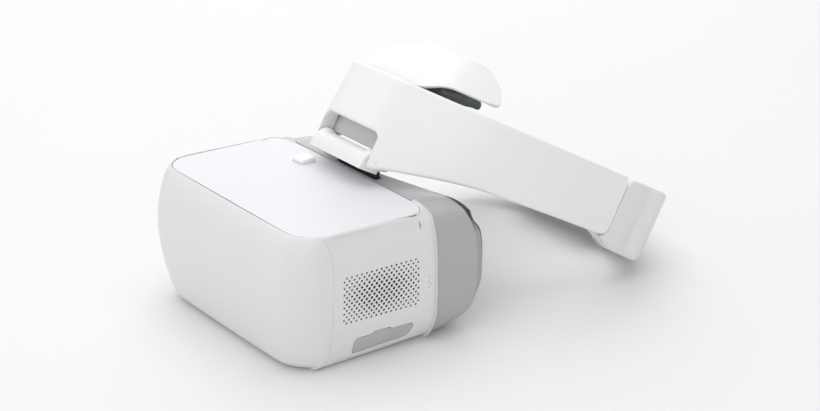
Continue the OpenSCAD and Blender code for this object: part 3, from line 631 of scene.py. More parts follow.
def side_panel(name, mirrored):
    """A side wall from the front seam to the housing, with its turned-in top corner."""
    s = level_keys(not mirrored)
    seam = seam_depth(level(s)[0]) + SEAM_GAP
    steps = 4 * VENT_COLS if not mirrored else 20
    mid = np.linspace(VENT_Y0, VENT_Y0 + VENT_COLS * PITCH_Y, steps + 1)
    rear = [28.8, 30.2, 31.6, 33, 34.4, 35.7, 36.8, 37.7, 38.4, 38.9, 39.25, 39.45, SEAM_Y - GROOVE]
    columns = []
    for t in (0.0, 0.3, 0.65):
        y = seam + (VENT_Y0 - seam) * t
        columns.append(np.stack([wall(s[k:k + 1], y[k])[0] for k in range(len(s))]))
    columns += [wall(s, y) for y in [*mid, *rear]]
    grid = np.stack(columns)
    rows = []
    for col in grid:
        edge = col[-1]
        y = min(edge[1], SEAM_Y - GROOVE)
        goal = np.array([cover_half(y) + GROOVE, y, plane_z(y)])
        m = np.linspace(0, 1, 9)[1:, None]
        strip = edge + (goal - edge) * m
        strip[:, 2] = edge[2] + (goal[2] - edge[2]) * (1 - (1 - m[:, 0]) ** 2.2)
        rows.append(np.vstack([col, strip]))
    grid = np.stack(rows)
    first = len(np.linspace(0, 1, 30)) - 1
    skip, inner = None, None
    if not mirrored:
        def skip(i, j):
            return 3 <= i < 3 + steps and first <= j < first + 4 * VENT_ROWS
        depth = np.full(grid.shape[:2], 2.2)
        depth[3:4 + steps, first:first + 4 * VENT_ROWS + 1] = 0.9
        inner = grid - grid_normals(grid, (0, 0, 50), False) * depth[..., None]
    points, faces, outer, inner = shell(grid, 2.2, 0.22, (0, 0, 50), skip=skip, inner=inner)
    if not mirrored:
        points, faces = add_vent(points, faces, outer, inner, 3, first)
    else:
        points[:, 0] *= -1
    return make(name, points, faces)


def add_vent(points, faces, outer, inner, i_at, j_at):
    """Fills the grille window with cells that each hold one hole."""
    extra = []
    base = len(points)
    used = set()

    def ring(centre, radius, slope, depth, thick):
        nonlocal base
        a = np.linspace(0, 2 * math.pi, 16, endpoint=False)
        c = centre - thick * depth
        p = np.stack([np.full(16, c[0]), c[1] + radius * np.cos(a), c[2] + radius * np.sin(a)], 1)
        p[:, 0] += slope[0] * radius * np.cos(a) + slope[1] * radius * np.sin(a)
        extra.append(p)
        base += 16
        return list(range(base - 16, base))

    for i0, j0, radius, opened, depth in vent_cells():
        i, j = i0 + i_at, j0 + j_at
        around = [outer[i + a, j + b] for a, b in CELL]
        under = [inner[i + a, j + b] for a, b in CELL]
        centre, back = points[around].mean(0), points[under].mean(0)
        thick = (centre - back) / np.linalg.norm(centre - back)
        far, near = points[outer[i + 4, j + 2]], points[outer[i, j + 2]]
        up, down = points[outer[i + 2, j + 4]], points[outer[i + 2, j]]
        slope = ((far[0] - near[0]) / (far[1] - near[1]), (up[0] - down[0]) / (up[2] - down[2]))
        lip = ring(centre, radius + 0.14, slope, 0.0, thick)
        neck = ring(centre, radius, slope, 0.16, thick)
        through_all = np.linalg.norm(centre - back)
        deep = ring(centre, radius, slope, through_all if opened else depth, thick)
        for k in range(16):
            m = (k + 1) % 16
            faces.append([around[k], around[m], lip[m], lip[k]])
            faces.append([lip[k], lip[m], neck[m], neck[k]])
            faces.append([neck[k], neck[m], deep[m], deep[k]])
            if opened:
                faces.append([deep[k], deep[m], under[m], under[k]])
        if not opened:
            faces.append(deep)
        for a in range(4):
            for b in range(4):
                used.add((i0 + a, j0 + b))
                if not opened:
                    q = inner[i + a, j + b], inner[i + a + 1, j + b], inner[i + a + 1,
                                                                            j + b + 1], inner[i + a,
                                                                                              j + b + 1]
                    faces.append(list(q))
    for a in range(4 * VENT_COLS):
        for b in range(4 * VENT_ROWS):
            if (a, b) not in used:
                i, j = i_at + a, j_at + b
                for t in (outer, inner):
                    faces.append([t[i, j], t[i + 1, j], t[i + 1, j + 1], t[i, j + 1]])
    return np.vstack([points, *extra]), faces


# ---------------------------------------------------------------- display unit shells
def front_shell():
    """The front face with both rounded corners, back to the side seams."""
    s = level_keys(False)
    half = []
    for k in range(len(s)):
        z, f, w, r, xr, zr = (v[0] for v in level(s[k:k + 1]))
        xc = w - r
        flat = np.stack([np.linspace(0, xc, 17)[:-1], np.full(16, f), np.full(16, z)], 1)
        flat[:, 1] -= 0.5 * (1 - (flat[:, 0] / xc) ** 2)
        a = np.linspace(0, math.pi / 2, 23)
        arc = np.stack([xc + r * np.sin(a), f + r - r * np.cos(a), np.full(23, z)], 1)
        end = seam_depth(z)
        cut = arc[arc[:, 1] < end - 1.5]
        side = [wall(s[k:k + 1], end - (end - cut[-1, 1]) * t)[0] for t in (0.5,
                0)] if end - cut[-1, 1] > 0.2 else []
        line = np.vstack([flat, cut, *side])
        n = 44
        d = np.concatenate([[0], np.cumsum(np.linalg.norm(np.diff(line, axis=0), axis=1))])
        t = np.linspace(0, d[-1], n)
        half.append(np.stack([np.interp(t, d, line[:, c]) for c in range(3)], 1))
    half = np.array(half)
    lip = half[-1].copy()
    lip[:, 0] *= (COVER_HALF + GROOVE - 0.05) / 91.4
    lip[:, 1] += 0.55 * np.clip((-lip[:, 1] - 42) / 21, 0, 1)
    lip[:, 2] = TOP_FRONT
    under = half[0]
    rows = []
    for t in (1.0, 0.66, 0.33):
        row = under.copy()
        row[:, 1] = row[:, 1] + (np.maximum(-38.6, row[:, 1]) - row[:, 1]) * t
        rows.append(row)
    half = np.concatenate([np.array(rows), half, lip[None]])
    left = half[:, ::-1].copy()
    left[:, :, 0] *= -1
    grid = np.concatenate([left[:, :-1], half], 1)
    n = grid_normals(grid, (0, 0, 50), False)
    inner = grid - n * 2.2
    inner[-1] = grid[-1] - np.array([0, 0, 2.2])
    points, faces, _, _ = shell(grid, 2.2, 0.22, (0, 0, 50), inner=inner)
    return make("front_shell_skin", points, faces)


def top_cover():
    """The smooth lid, with a square hole for its button."""
    a = np.linspace(0, math.pi / 2, 16)
    ys = [COVER_FRONT + COVER_R * (1 - math.cos(t)) for t in a]
    ys += list(np.linspace(ys[-1], COVER_BEND, 14)[1:])
    ys += [COVER_BEND + (SEAM_Y - GROOVE - COVER_BEND) * math.sin(t) ** (2 / 2.1)
           for t in np.linspace(0, math.pi / 2, 16)[1:]]
    xi = np.sin(np.linspace(-math.pi / 2, math.pi / 2, 41)) * 0.35 + np.linspace(-1, 1, 41) * 0.65
    grid = np.array([[(x * float(cover_half(y)), y,
                       plane_z(y) - 0.35 * x**4 * float(ease((y + 20) / 60))) for x in xi] for y in ys])
    inner = grid - np.array([0, 0, 2.0])
    points, faces, _, _ = shell(grid, 2.0, 0.3, (0, 0, -500), inner=inner)
    lid = make("top_cover_skin", points, faces)
    hole = rounded_outline([(-42.4, 15.7), (-28.6, 15.7), (-28.6, 29.5), (-42.4, 29.5)], 3.4)
    combine(lid, make("hole", *prism(hole, 2, 90, 110), weighted=False))
    return weight(lid)


def rounded_square(cx, cy, half, radius, z, steps=6):
    o = rounded_outline([(cx - half, cy - half), (cx + half, cy - half), (cx + half, cy + half),
                         (cx - half, cy + half)], radius, steps)
    return np.column_stack([o, np.full(len(o), z)])


def top_button():
    """The square key: a soft edge and a slightly dished top."""
    cx, cy = -35.5, 22.6
    rings = [(6.45, 94.0), (6.45, 98.9), (6.4, 99.6), (6.15, 100.3), (5.7, 100.75), (5.1, 100.9),
             (3.4, 100.82), (1.6, 100.72)]
    return make("top_button_key",
                *tube([rounded_square(cx, cy, h, min(2.9, h * 0.46), z) for h, z in rings]), angle=60)


PORT = [(-24.8, 9.8), (-24.4, 17.6), (-21.8, 19.7), (-10.4, 19.9), (-8.6, 21.6), (3.2, 21.6), (4.8, 19.9),
        (20.6, 20.3),
        (23.0, 17.8), (21.8, 12.8), (19.0, 9.6), (-23.2, 7.4)]


def port_outline(grow, steps=6):
    c = np.array(PORT, float)
    mid = np.array([-1.0, 14.3])
    d = c - mid
    c = mid + d * (1 + grow / np.maximum(np.abs(d), 5.0))
    return rounded_outline(c, 2.0, steps)


def wall_slab(y0, y1, z0, z1, outer, depth, ny=40, nz=14, sign=1, chamfer=0.25):
    """A plate that follows the side wall, between two depths below its surface."""
    ys, zs = np.linspace(y0, y1, ny), np.linspace(z0, z1, nz)
    yy, zz = np.meshgrid(ys, zs, indexing="ij")
    grid = np.stack([wall_x(yy, zz) - outer, yy, zz], -1)
    inner = grid - np.array([depth, 0, 0])
    points, faces, _, _ = shell(grid, depth, chamfer, (0, 0, 50), inner=inner)
    points[:, 0] *= sign
    return points, faces


def left_panel():
    panel = side_panel("side_panel_left_skin", False)
    cuts = [prism(port_outline(0.25), 0, 80, 110)]
    cuts += [prism(disc(33.8 + (k % 2) * 1.3, 44.2 + k * 2.2, 0.5, 10), 0, 90, 110) for k in range(5)]
    combine(panel, make("cuts", *joined(cuts), weighted=False))
    return weight(panel)


def dust_mesh():
    """The black cloth stretched behind the grille."""
    return make("grille_dust_mesh",
                *wall_slab(VENT_Y0 + 1.2, VENT_Y0 + VENT_COLS * PITCH_Y - 1.2, VENT_Z0 + 1.2, VENT_Z1 - 1.2,
                           1.15, 0.4, 24, 16))


def groove_shade_strip():
    """Grey strip that closes the groove round the top cover; its dark grey is painted shade for the groove.
    """
    a = np.linspace(0, math.pi / 2, 12)
    ys = [COVER_FRONT + COVER_R * (1 - math.cos(t)) for t in a] + list(np.linspace(COVER_FRONT + COVER_R,
                                                                                   COVER_BEND, 10)[1:])
    ys += [COVER_BEND + (SEAM_Y - GROOVE - COVER_BEND) * math.sin(t) ** (2 / 2.1)
           for t in np.linspace(0, math.pi / 2, 14)[1:]]
    path = [(float(cover_half(y)), y) for y in ys]
    path = np.array([(-x, y) for x, y in path[::-1]] + path)
    loops = []
    for k, (x, y) in enumerate(path):
        d = path[min(k + 1, len(path) - 1)] - path[max(k - 1, 0)]
        d = d / max(np.linalg.norm(d), 1e-9)
        side = np.array([-d[1], d[0]])
        z = plane_z(y) - 0.75
        loops.append([(x + side[0] * w, y + side[1] * w, z - h) for w,
                      h in ((-0.9, 0), (1.9, 0), (1.9, 0.8), (-0.9, 0.8))])
    return make("groove_shade_strip", *tube(loops), angle=30)


def port_bay():
    """The socket plate behind the flap."""
    bay = make("port_bay_plate", *wall_slab(-27.5, 25.6, 5.4, 23.6, 2.35, 2.6, 30, 10), weighted=False)
    box = rounded_outline
    cuts = [prism(box([(-21, 11.8), (-5.6, 11.8), (-5.6, 18.1), (-21, 18.1)], 0.8), 0, 80, 110),
            prism(box([(-1.6, 11.8), (7, 11.8), (7, 16.2), (-1.6, 16.2)], 0.8), 0, 80, 110),
            prism(disc(14.4, 14.6, 2.3, 28), 0, 80, 110)]
    combine(bay, make("cuts", *joined(cuts), weighted=False))
    return weight(bay)


def port_flap():
    flap = make("port_flap_rubber", *wall_slab(-27, 25, 6.4, 22.6, 0.1, 1.9, 48, 16, chamfer=0.1),
                weighted=False)
    combine(flap, make("cut", *prism(port_outline(-0.15), 0, 80, 110), weighted=False), "INTERSECT")
    round_edges(flap, 0.35)
    bake(flap)
    return weight(flap)


def right_panel():
    panel = side_panel("side_panel_right_skin", True)
    pocket = rounded_outline([(-18.3, 30.7), (30.3, 30.7), (30.3, 77.3), (-18.3, 77.3)], 6)
    p, f = wall_slab(-18.3, 30.3, 30.7, 77.3, -3.0, 4.5, 16, 16)
    cutter = make("pocket", p, f, weighted=False)
    combine(cutter, make("edge", *prism(pocket, 0, 80, 110), weighted=False), "INTERSECT")
    cutter.data.transform(Matrix.Scale(-1, 4, (1, 0, 0)))
    tidy(cutter.data)
    combine(panel, cutter)
    holes = [prism(disc(y, z, 4.75, 36), 0, -110, -80) for y, z in ((-30, 54), (22, 19.6))]
    combine(panel, make("holes", *joined(holes), weighted=False))
    return weight(panel)


def touch_plate():
    plate = make("touch_plate", *wall_slab(-18, 30, 31, 77, 0.12, 1.25, 24, 24, chamfer=0.1), weighted=False)
    edge = rounded_outline([(-17.9, 31.1), (29.9, 31.1), (29.9, 76.9), (-17.9, 76.9)], 5.7)
    combine(plate, make("edge", *prism(edge, 0, 80, 110), weighted=False), "INTERSECT")
    plate.data.transform(Matrix.Scale(-1, 4, (1, 0, 0)))
    tidy(plate.data)
    round_edges(plate, 0.3)
    bake(plate)
    return weight(plate)


# ---------------------------------------------------------------- grey housing and face side
def rear_section():
    """The closed outline at the housing seam, from the top middle round the left."""
    s = level_keys(False)
    side = wall(s, SEAM_Y)[::-1]
    edge, goal = side[0], np.array([COVER_FLAT + GROOVE, SEAM_Y, plane_z(SEAM_Y - GROOVE)])
    m = np.linspace(0, 1, 9)[1:, None]
    strip = edge + (goal - edge) * m
    strip[:, 2] = edge[2] + (goal[2] - edge[2]) * (1 - (1 - m[:, 0]) ** 2.2)
    top = np.stack([np.linspace(0, goal[0], 16)[:-1], np.full(15, SEAM_Y), np.full(15, goal[2])], 1)
    low = np.stack([np.linspace(side[-1][0], 0, 16)[1:], np.full(15, SEAM_Y), np.zeros(15)], 1)
    half = np.vstack([top, strip[::-1], side, low])
    d = np.concatenate([[0], np.cumsum(np.linalg.norm(np.diff(half, axis=0), axis=1))])
    t = np.linspace(0, d[-1], 110)
    half = np.stack([np.interp(t, d, half[:, c]) for c in range(3)], 1)
    other = half[1:-1][::-1].copy()
    other[:, 0] *= -1
    return np.vstack([half, other])


def face_depth(x, z):
    """How far back the face edge lies."""
    dz = np.where(z > 53, 0.0036 * (z - 53) ** 2, 0.0023 * (z - 53) ** 2)
    return 50.8 + 26 * (np.abs(x) / 97) ** 1.25 - dz * (np.abs(x) / 97) ** 5


def housing_loop(section, t):
    """The housing outline at share t from the seam to its rear edge."""
    p = section.copy()
    back = face_depth(p[:, 0], p[:, 2])
    y = SEAM_Y + 0.2 + (back - SEAM_Y - 0.2) * t
    away = y - SEAM_Y
    up = np.clip((p[:, 2] - 50) / 47, 0, 1) ** 2
    down = np.clip((50 - p[:, 2]) / 50, 0, 1) ** 3
    p[:, 2] += -0.0036 * away**2 * up + 0.0058 * away**2 * down
    p[:, 0] *= 1 - 0.012 * (away / 37) ** 2 - 0.02 * (away / 37) ** 2 * np.clip((p[:, 2] - 70) / 27, 0, 1)
    p[:, 1] = y
    return p


def housing():
    section = rear_section()
    t = [0, 0.03, *np.linspace(0.08, 0.97, 18), 1.0]
    grid = np.stack([housing_loop(section, k) for k in t])
    points, faces, _, _ = shell(grid, 2.3, 0.35, (0, 45, 50), closed=True)
    skin = make("rear_housing_skin", points, faces)
    neck = rounded_outline([(-24.7, 42.3), (24.7, 42.3), (24.7, 48.5), (-24.7, 48.5)], 1.0)
    wheel = rounded_outline([(-17, 41), (17, 41), (17, 49), (-17, 49)], 1.5)
    combine(skin, make("cuts", *joined([prism(neck, 2, 90, 104), prism(wheel, 2, -4, 8)]), weighted=False))
    return weight(skin)


def face_loop(section, inset, back, nose):
    """An outline on the face side: pulled in from the housing's edge and pushed back."""
    p = housing_loop(section, 1.0)
    ring = np.roll(p, -1, 0) - np.roll(p, 1, 0)
    n = np.stack([ring[:, 2], -ring[:, 0]], 1)
    n /= np.maximum(np.linalg.norm(n, axis=1, keepdims=True), 1e-9)
    if np.sum(n * (p[:, [0, 2]] - [0, 50])) < 0:
        n = -n
    q = p.copy()
    q[:, 0] -= n[:, 0] * inset
    q[:, 2] -= n[:, 1] * inset
    low = np.clip((30 - q[:, 2]) / 30, 0, 1)
    arch = nose * np.exp(-((q[:, 0] / 15) ** 4)) * low
    q[:, 2] += arch
    q[:, 1] = face_depth(q[:, 0], q[:, 2]) + back
    return q


def rim_share(section):
    """How deep the rim stands out round the outline: full at the cheeks, thin below and thinnest at the brow.
    """
    z = section[:, 2]
    return (0.3 + 0.7 * ease((z - 22) / 16)) * (1 - 0.86 * ease((z - 74) / 16))


def face_rim():
    section = rear_section()
    share = rim_share(section)[:, None]
    profile = [(1.3, -3.0), (1.0, -0.4), (0.9, 0.2), (0.9, 3.4), (1.3, 5.2), (2.6, 6.3), (4.6, 6.6),
               (8.0, 6.4), (9.6, 5.6), (9.8, 2.0), (9.6, -3.0)]
    loops = []
    for inset, back in profile:
        loop = face_loop(section, inset, 0, 16)
        loop[:, 1:2] += back * np.where(back > 0, share, 1)
        loops.append(loop)
    points, faces = tube(loops, close_ends=False)
    return make("face_rim", points, faces, angle=50)


def cushion():
    """The foam ring: crowned, pulled in along its two seams and pressed thin over the nose."""
    section = rear_section()
    share = rim_share(section)[:, None]
    profile = [(4.8, 0.3), (4.6, 1.4), (5.2, 3.0), (6.6, 4.6), (8.4, 5.4), (10.4, 5.4), (12.2, 4.4),
               (13.6, 2.6), (14.0, 0.9), (12.6, 0.3)]
    brow = ease((section[:, 2] - 80) / 12) * ease((np.abs(section[:, 0]) - 30) / 30)
    a = np.linspace(0, 2 * math.pi, len(section), endpoint=False)
    swell = 0.35 * np.sin(a * 9) + 0.25 * np.sin(a * 14 + 1)
    loops = []
    for inset, back in profile:
        loop = face_loop(section, inset, 0, 17)
        out = face_loop(section, inset * 0.42, 0, 17)
        loop += (out - loop) * brow[:, None]
        loop[:, 1] += 6.6 * share[:, 0] + back + swell * ease(back / 4)
        loops.append(loop)
    points, faces = tube(loops, close_ends=False)
    return make("face_cushion_foam", points, faces, angle=70, weighted=False)


# ---------------------------------------------------------------- headband
BAND_Y, BAND_Z, TILT = 24.4, 113.15, math.radians(29.5)
COS, SIN = math.cos(TILT), math.sin(TILT)
BAND_TOP, ARM_END, HALF_BAND, BAND_LENGTH = 66.9, 179.5, 102.0, 250.0
FRONT_R, SIDE_R, REAR_R, BEND, FLAT = 25.0, 165.0, 62.0, math.radians(43), 18.0
SLOT_HALF, SLOT_TOP = 31.5, 26.5


def band_point(x, u, level_):
    """Headband coordinates (across, along, up from the lower edge) in the row frame."""
    x, u, level_ = np.broadcast_arrays(*(np.asarray(v, float) for v in (x, u, level_)))
    return np.stack([x, BAND_Y + u * COS + level_ * SIN, BAND_Z - u * SIN + level_ * COS], -1)


def band_path(to_rear=False):
    """Points (x, u) and outward directions along the left half, from the front middle."""
    c2x = HALF_BAND - SIDE_R
    s3 = c2x + SIDE_R * math.sin(BEND)
    run = (s3 - FLAT - FRONT_R * math.sin(BEND)) / math.cos(BEND)
    c2u = FRONT_R * (1 - math.cos(BEND)) + run * math.sin(BEND) + SIDE_R * math.cos(BEND)
    path = [(x, 0.0, 0.0) for x in np.linspace(0, FLAT, 6)[:-1]]
    path += [(FLAT + FRONT_R * math.sin(h), FRONT_R * (1 - math.cos(h)), h) for h in np.linspace(0, BEND, 10)]
    a, b = path[-1], (s3, c2u - SIDE_R * math.cos(BEND), BEND)
    path += [tuple(np.array(a) + (np.array(b) - np.array(a)) * t) for t in np.linspace(0, 1, 7)[1:]]
    path += [(c2x + SIDE_R * math.sin(h), c2u - SIDE_R * math.cos(h), h) for h in np.linspace(BEND,
                                                                                              math.pi / 2,
                                                                                              36)[1:]]
    if not to_rear:
        path += [(HALF_BAND, u, math.pi / 2) for u in [*np.linspace(c2u, 172, 6)[1:], 174.4, 175.6, 176.8,
                                                       177.9, 178.7, 179.2, ARM_END]]
    else:
        path = [(HALF_BAND, u, math.pi / 2) for u in [170.6, 172.5, 175, 177.5, 179.6, 180.0, 180.5, 181.2,
                                                      182.2, 183.6, 185.4, 187.0]]
        cx = HALF_BAND - REAR_R
        path += [(cx + REAR_R * math.sin(h), 188 - REAR_R * math.cos(h),
                  h) for h in np.linspace(math.pi / 2, math.pi, 54)]
        path += [(x, BAND_LENGTH, math.pi) for x in np.linspace(cx, 0, 14)[1:]]
    return np.array(path, float)


def low_edge(u):
    first = -0.6 + 19 * (1 - np.clip(1 - u / 76, 0, 1) ** 1.7)
    return np.where(u < 76, first, 18.4 + 2.4 * (1 - (1 - np.clip((u - 76) / 80, 0, 1)) ** 2))


def rounded_band_section(x, u, heading, low, top, d0, d1, radius=2.4, keep=27.0, lean=True, straight=0.0):
    """One closed cross-section of the band: outer face, rounded edges and inner face."""
    heading *= 1 - straight
    nx, nu = math.sin(heading), -math.cos(heading)
    r0 = min(radius, (top - low) * 0.3)
    a = np.linspace(0, math.pi / 2, 5)
    tall = top - r0
    split = min(max(keep, low + r0 + 0.3), tall - 0.5)
    outer = np.concatenate([np.linspace(low + r0, split, 7), np.linspace(split, tall, 9)[1:]])
    pts = [(d0, v) for v in outer]
    pts += [(d0 - r0 * (1 - math.cos(t)), tall + r0 * math.sin(t)) for t in a[1:]]
    pts += [(d1 + r0 * (1 - math.sin(t)), tall + r0 * math.cos(t)) for t in a]
    pts += [(d1, v) for v in outer[::-1][1:]]
    pts += [(d1 + r0 * (1 - math.cos(t)), low + r0 - r0 * math.sin(t)) for t in a[1:]]
    pts += [(d0 - r0 * (1 - math.sin(t)), low + r0 - r0 * math.cos(t)) for t in a[:-1]]
    d, v = np.array(pts).T
    back = 0.0
    if lean:
        back = np.clip((v - 20) / 47, 0, 1) ** 1.3 * 5.5 * float(ease((62 - abs(u)) / 50))
    return band_point(x + nx * d, u + nu * d + back, v)


def slot_low(x, grow=0.0, ceiling=SLOT_TOP):
    """Lower edge over the slot for the hinge block, or None beyond it."""
    half, top = SLOT_HALF + grow, ceiling + grow
    if abs(x) > half:
        return None
    k = max(0.0, abs(x) - (half - 6))
    return top - 6 + math.sqrt(max(0.0, 36 - k * k))


def band_sweep(name, d0, d1, radius, end, grow=0.0, lift=0.0, ceiling=SLOT_TOP):
    path = band_path()
    path = path[path[:, 1] <= end + 1e-6]
    half = SLOT_HALF + grow
    stations = []
    xs = path[:, 0]
    extra = [half - k for k in (6, 4.2, 2.8, 1.7, 0.9, 0.35, 0.0)]
    for x in extra:
        k = int(np.searchsorted(xs[:25], x)) if x < xs[24] else 24
        t = (x - xs[k - 1]) / (xs[k] - xs[k - 1])
        stations.append(tuple(path[k - 1] + (path[k] - path[k - 1]) * t))
    jump = stations[-1]
    line = sorted([*map(tuple, path), *stations], key=lambda p: (p[1], p[0]))
    line = sorted(line, key=lambda p: p[0] + p[1])
    sections = []
    for x, u, h in line:
        top = BAND_TOP - lift
        if u > end - 5:
            top -= 5 - math.sqrt(max(0.0, 25 - (u - end + 5) ** 2))
        low = float(low_edge(np.array(u))) + lift
        if u > end - 5:
            low += 5 - math.sqrt(max(0.0, 25 - (u - end + 5) ** 2))
        inside = slot_low(x, grow, ceiling)
        straight = 1 - float(ease((x - half) / 14))
        if (x, u, h) == jump:
            inside = ceiling + grow - 6
        if inside is not None:
            sections.append(rounded_band_section(x, u, h, inside, top, d0, d1, radius, straight=straight))
        if (x, u, h) == jump or inside is None:
            sections.append(rounded_band_section(x, u, h, low, top, d0, d1, radius, straight=straight))
    half_s = np.array(sections)
    other = half_s[::-1].copy()
    other[:, :, 0] *= -1
    points, faces = tube(np.concatenate([other[:-1], half_s]))
    return make(name, points, faces, angle=42)


def forehead_surface(t, s, arched=True):
    """The leaning forehead plate: t runs up from the arms, s across from -1 to 1."""
    q, v = np.maximum(t, 0), np.abs(s)
    width = np.where(t < 0, 67.8 + 26 * t, 67.8 - 35.2 * q**1.3)
    reach = np.where(t < 0, 48.2 + 20 * t, 48.2 * (1 - 0.6 * q**3))
    return np.stack([width * s, 16.6 + 12 * t + 23.5 * q * q + reach * v**2.78,
                     67 + 32 * t + 8.6 * (1 - q) * (ease((v - 0.38) / 0.36) if arched else v * v)], -1)


def forehead_grid(t0, t1, width, nt, ns, corner=0.07, arched=True):
    rows = []
    for k in range(nt):
        a = k / (nt - 1)
        edge = min(a, 1 - a)
        pull = corner * max(0.0, 1 - edge / 0.13) ** 2.2
        s = np.linspace(-1, 1, ns) * width * (1 - pull)
        s = np.sign(s) * np.abs(s) ** 0.94 * (width * (1 - pull)) ** 0.06
        rows.append(forehead_surface(np.full(ns, t0 + (t1 - t0) * a), s, arched))
    return np.array(rows)


def to_row(p):
    return band_point(p[..., 0], p[..., 1], p[..., 2])


def forehead_plate():
    grid = forehead_grid(-0.02, 1.0, 1.0, 44, 71)
    points, faces, _, _ = shell(grid, 3.2, 0.6, (0, 80, 30))
    return make("forehead_plate_skin", to_row(points), faces)


def forehead_pad_block():
    grid = forehead_grid(-0.2, 0.86, 0.92, 30, 60, 0.1, arched=False)
    n = grid_normals(grid, (0, 80, 30), False)
    grid = grid - n * 6.0
    points, faces, _, _ = shell(grid, 5.6, 1.4, (0, 80, 30))
    return make("forehead_pad_foam", to_row(points), faces, weighted=False)


def rear_pad_block():
    xs, vs = np.linspace(-44, 44, 30), np.linspace(20, 60, 16)
    grid = np.array([[(x, 232.2 - 0.0022 * x * x - 8.4, v) for v in vs] for x in xs])
    inner = grid + np.array([0, 6.2, 0])
    points, faces, _, _ = shell(grid, 6.2, 1.2, (0, 400, 40), inner=inner)
    return make("rear_pad_foam", to_row(points), faces, weighted=False)


def puff(obj, cap, pressure=4.0, voxel=4.0):
    """Swells a pad as stuffed cloth, then keeps each point within cap of where it began."""
    obj.data.remesh_voxel_size = voxel * MM
    remesh = obj.modifiers.new("remesh", "REMESH")
    remesh.mode, remesh.voxel_size = "VOXEL", voxel * MM
    bake(obj, 80)
    before = np.array([v.co for v in obj.data.vertices])
    scene = bpy.context.scene
    cloth = obj.modifiers.new("cloth", "CLOTH")
    cloth.settings.use_pressure = True
    cloth.settings.uniform_pressure_force = pressure
    cloth.settings.effector_weights.gravity = 0.0
    cloth.settings.quality = 4
    cloth.point_cache.frame_start, cloth.point_cache.frame_end = 1, 20
    for k in range(1, 21):
        scene.frame_set(k)
    dg = bpy.context.evaluated_depsgraph_get()
    mesh = bpy.data.meshes.new_from_object(obj.evaluated_get(dg))
    obj.modifiers.clear()
    scene.frame_set(1)
    after = np.array([v.co for v in mesh.vertices])
    move = after - before
    length = np.linalg.norm(move, axis=1, keepdims=True)
    move *= np.minimum(1.0, cap * MM / np.maximum(length, 1e-12))
    obj.data.vertices.foreach_set("co", (before + move).ravel())
    smooth = obj.modifiers.new("smooth", "SMOOTH")
    smooth.factor, smooth.iterations = 0.5, 3
    obj.modifiers.new("sub", "SUBSURF").levels = 1
    obj.modifiers["sub"].render_levels = 1
    bake(obj, 80)
    return obj


def module_sizes(x, u, h):
    """Outer raise, lower and upper edge of the rear module at a place on its path."""
    along = u if h <= math.pi / 2 + 1e-6 else 188 + (h - math.pi / 2) * REAR_R * 0.62
    raised = float(ease((along - 199) / 7.5))
    out = 7.6 * raised
    low = float(np.interp(along, [170.6, 189.7, 207.3, 211.0, 213.4, 216, 400],
                          [20.6, 12.9, 11.6, 12.6, 15.0, 16.6, 16.6]))
    if along < 180.2:
        top = float(low_edge(np.array(u))) - 0.5 + (5 - math.sqrt(max(0.0,
                25 - max(0.0, u - ARM_END + 5) ** 2))) * 0.98
        top = max(top, low + 0.5)
    else:
        top = float(np.interp(along, [180.2, 181, 182, 184, 187, 214, 218, 236, 400],
                              [58.5, 61.8, 63.6, 65.5, 66.5, 66.6, 64.8, 62.8, 62.6]))
    return out, low, top


def rear_module():
    sections = []
    line = band_path(True)
    for x, u, h in line:
        out, low, top = module_sizes(x, u, h)
        sections.append(rounded_band_section(x, u, h, low, top, out, -11.8, 3.2 if u > 181 else 1.4,
                                             keep=0.5 * (low + top), lean=False))
    half_s = np.array(sections)
    other = half_s[::-1].copy()
    other[:, :, 0] *= -1
    points, faces = tube(np.concatenate([half_s, other[1:]]))
    skin = make("rear_module_skin", points, faces, angle=45)
    a = np.linspace(0, 2 * math.pi, 60, endpoint=False)
    loops = []
    for r, u in ((19.8, 249.0), (19.8, 270.0)):
        loops.append(band_point(r * np.cos(a), u, 40 + r * np.sin(a)))
    loops2 = [band_point(6.6 * np.cos(a), u, 40 + 6.6 * np.sin(a)) for u in (225.0, 250.0)]
    combine(skin, make("well", *joined([tube(loops), tube(loops2)]), weighted=False), angle=45)
    return weight(skin)


def liner():
    return band_sweep("band_liner_skin", -12.25, -13.9, 0.7, 177.5, grow=0.4, lift=0.7, ceiling=13.6)


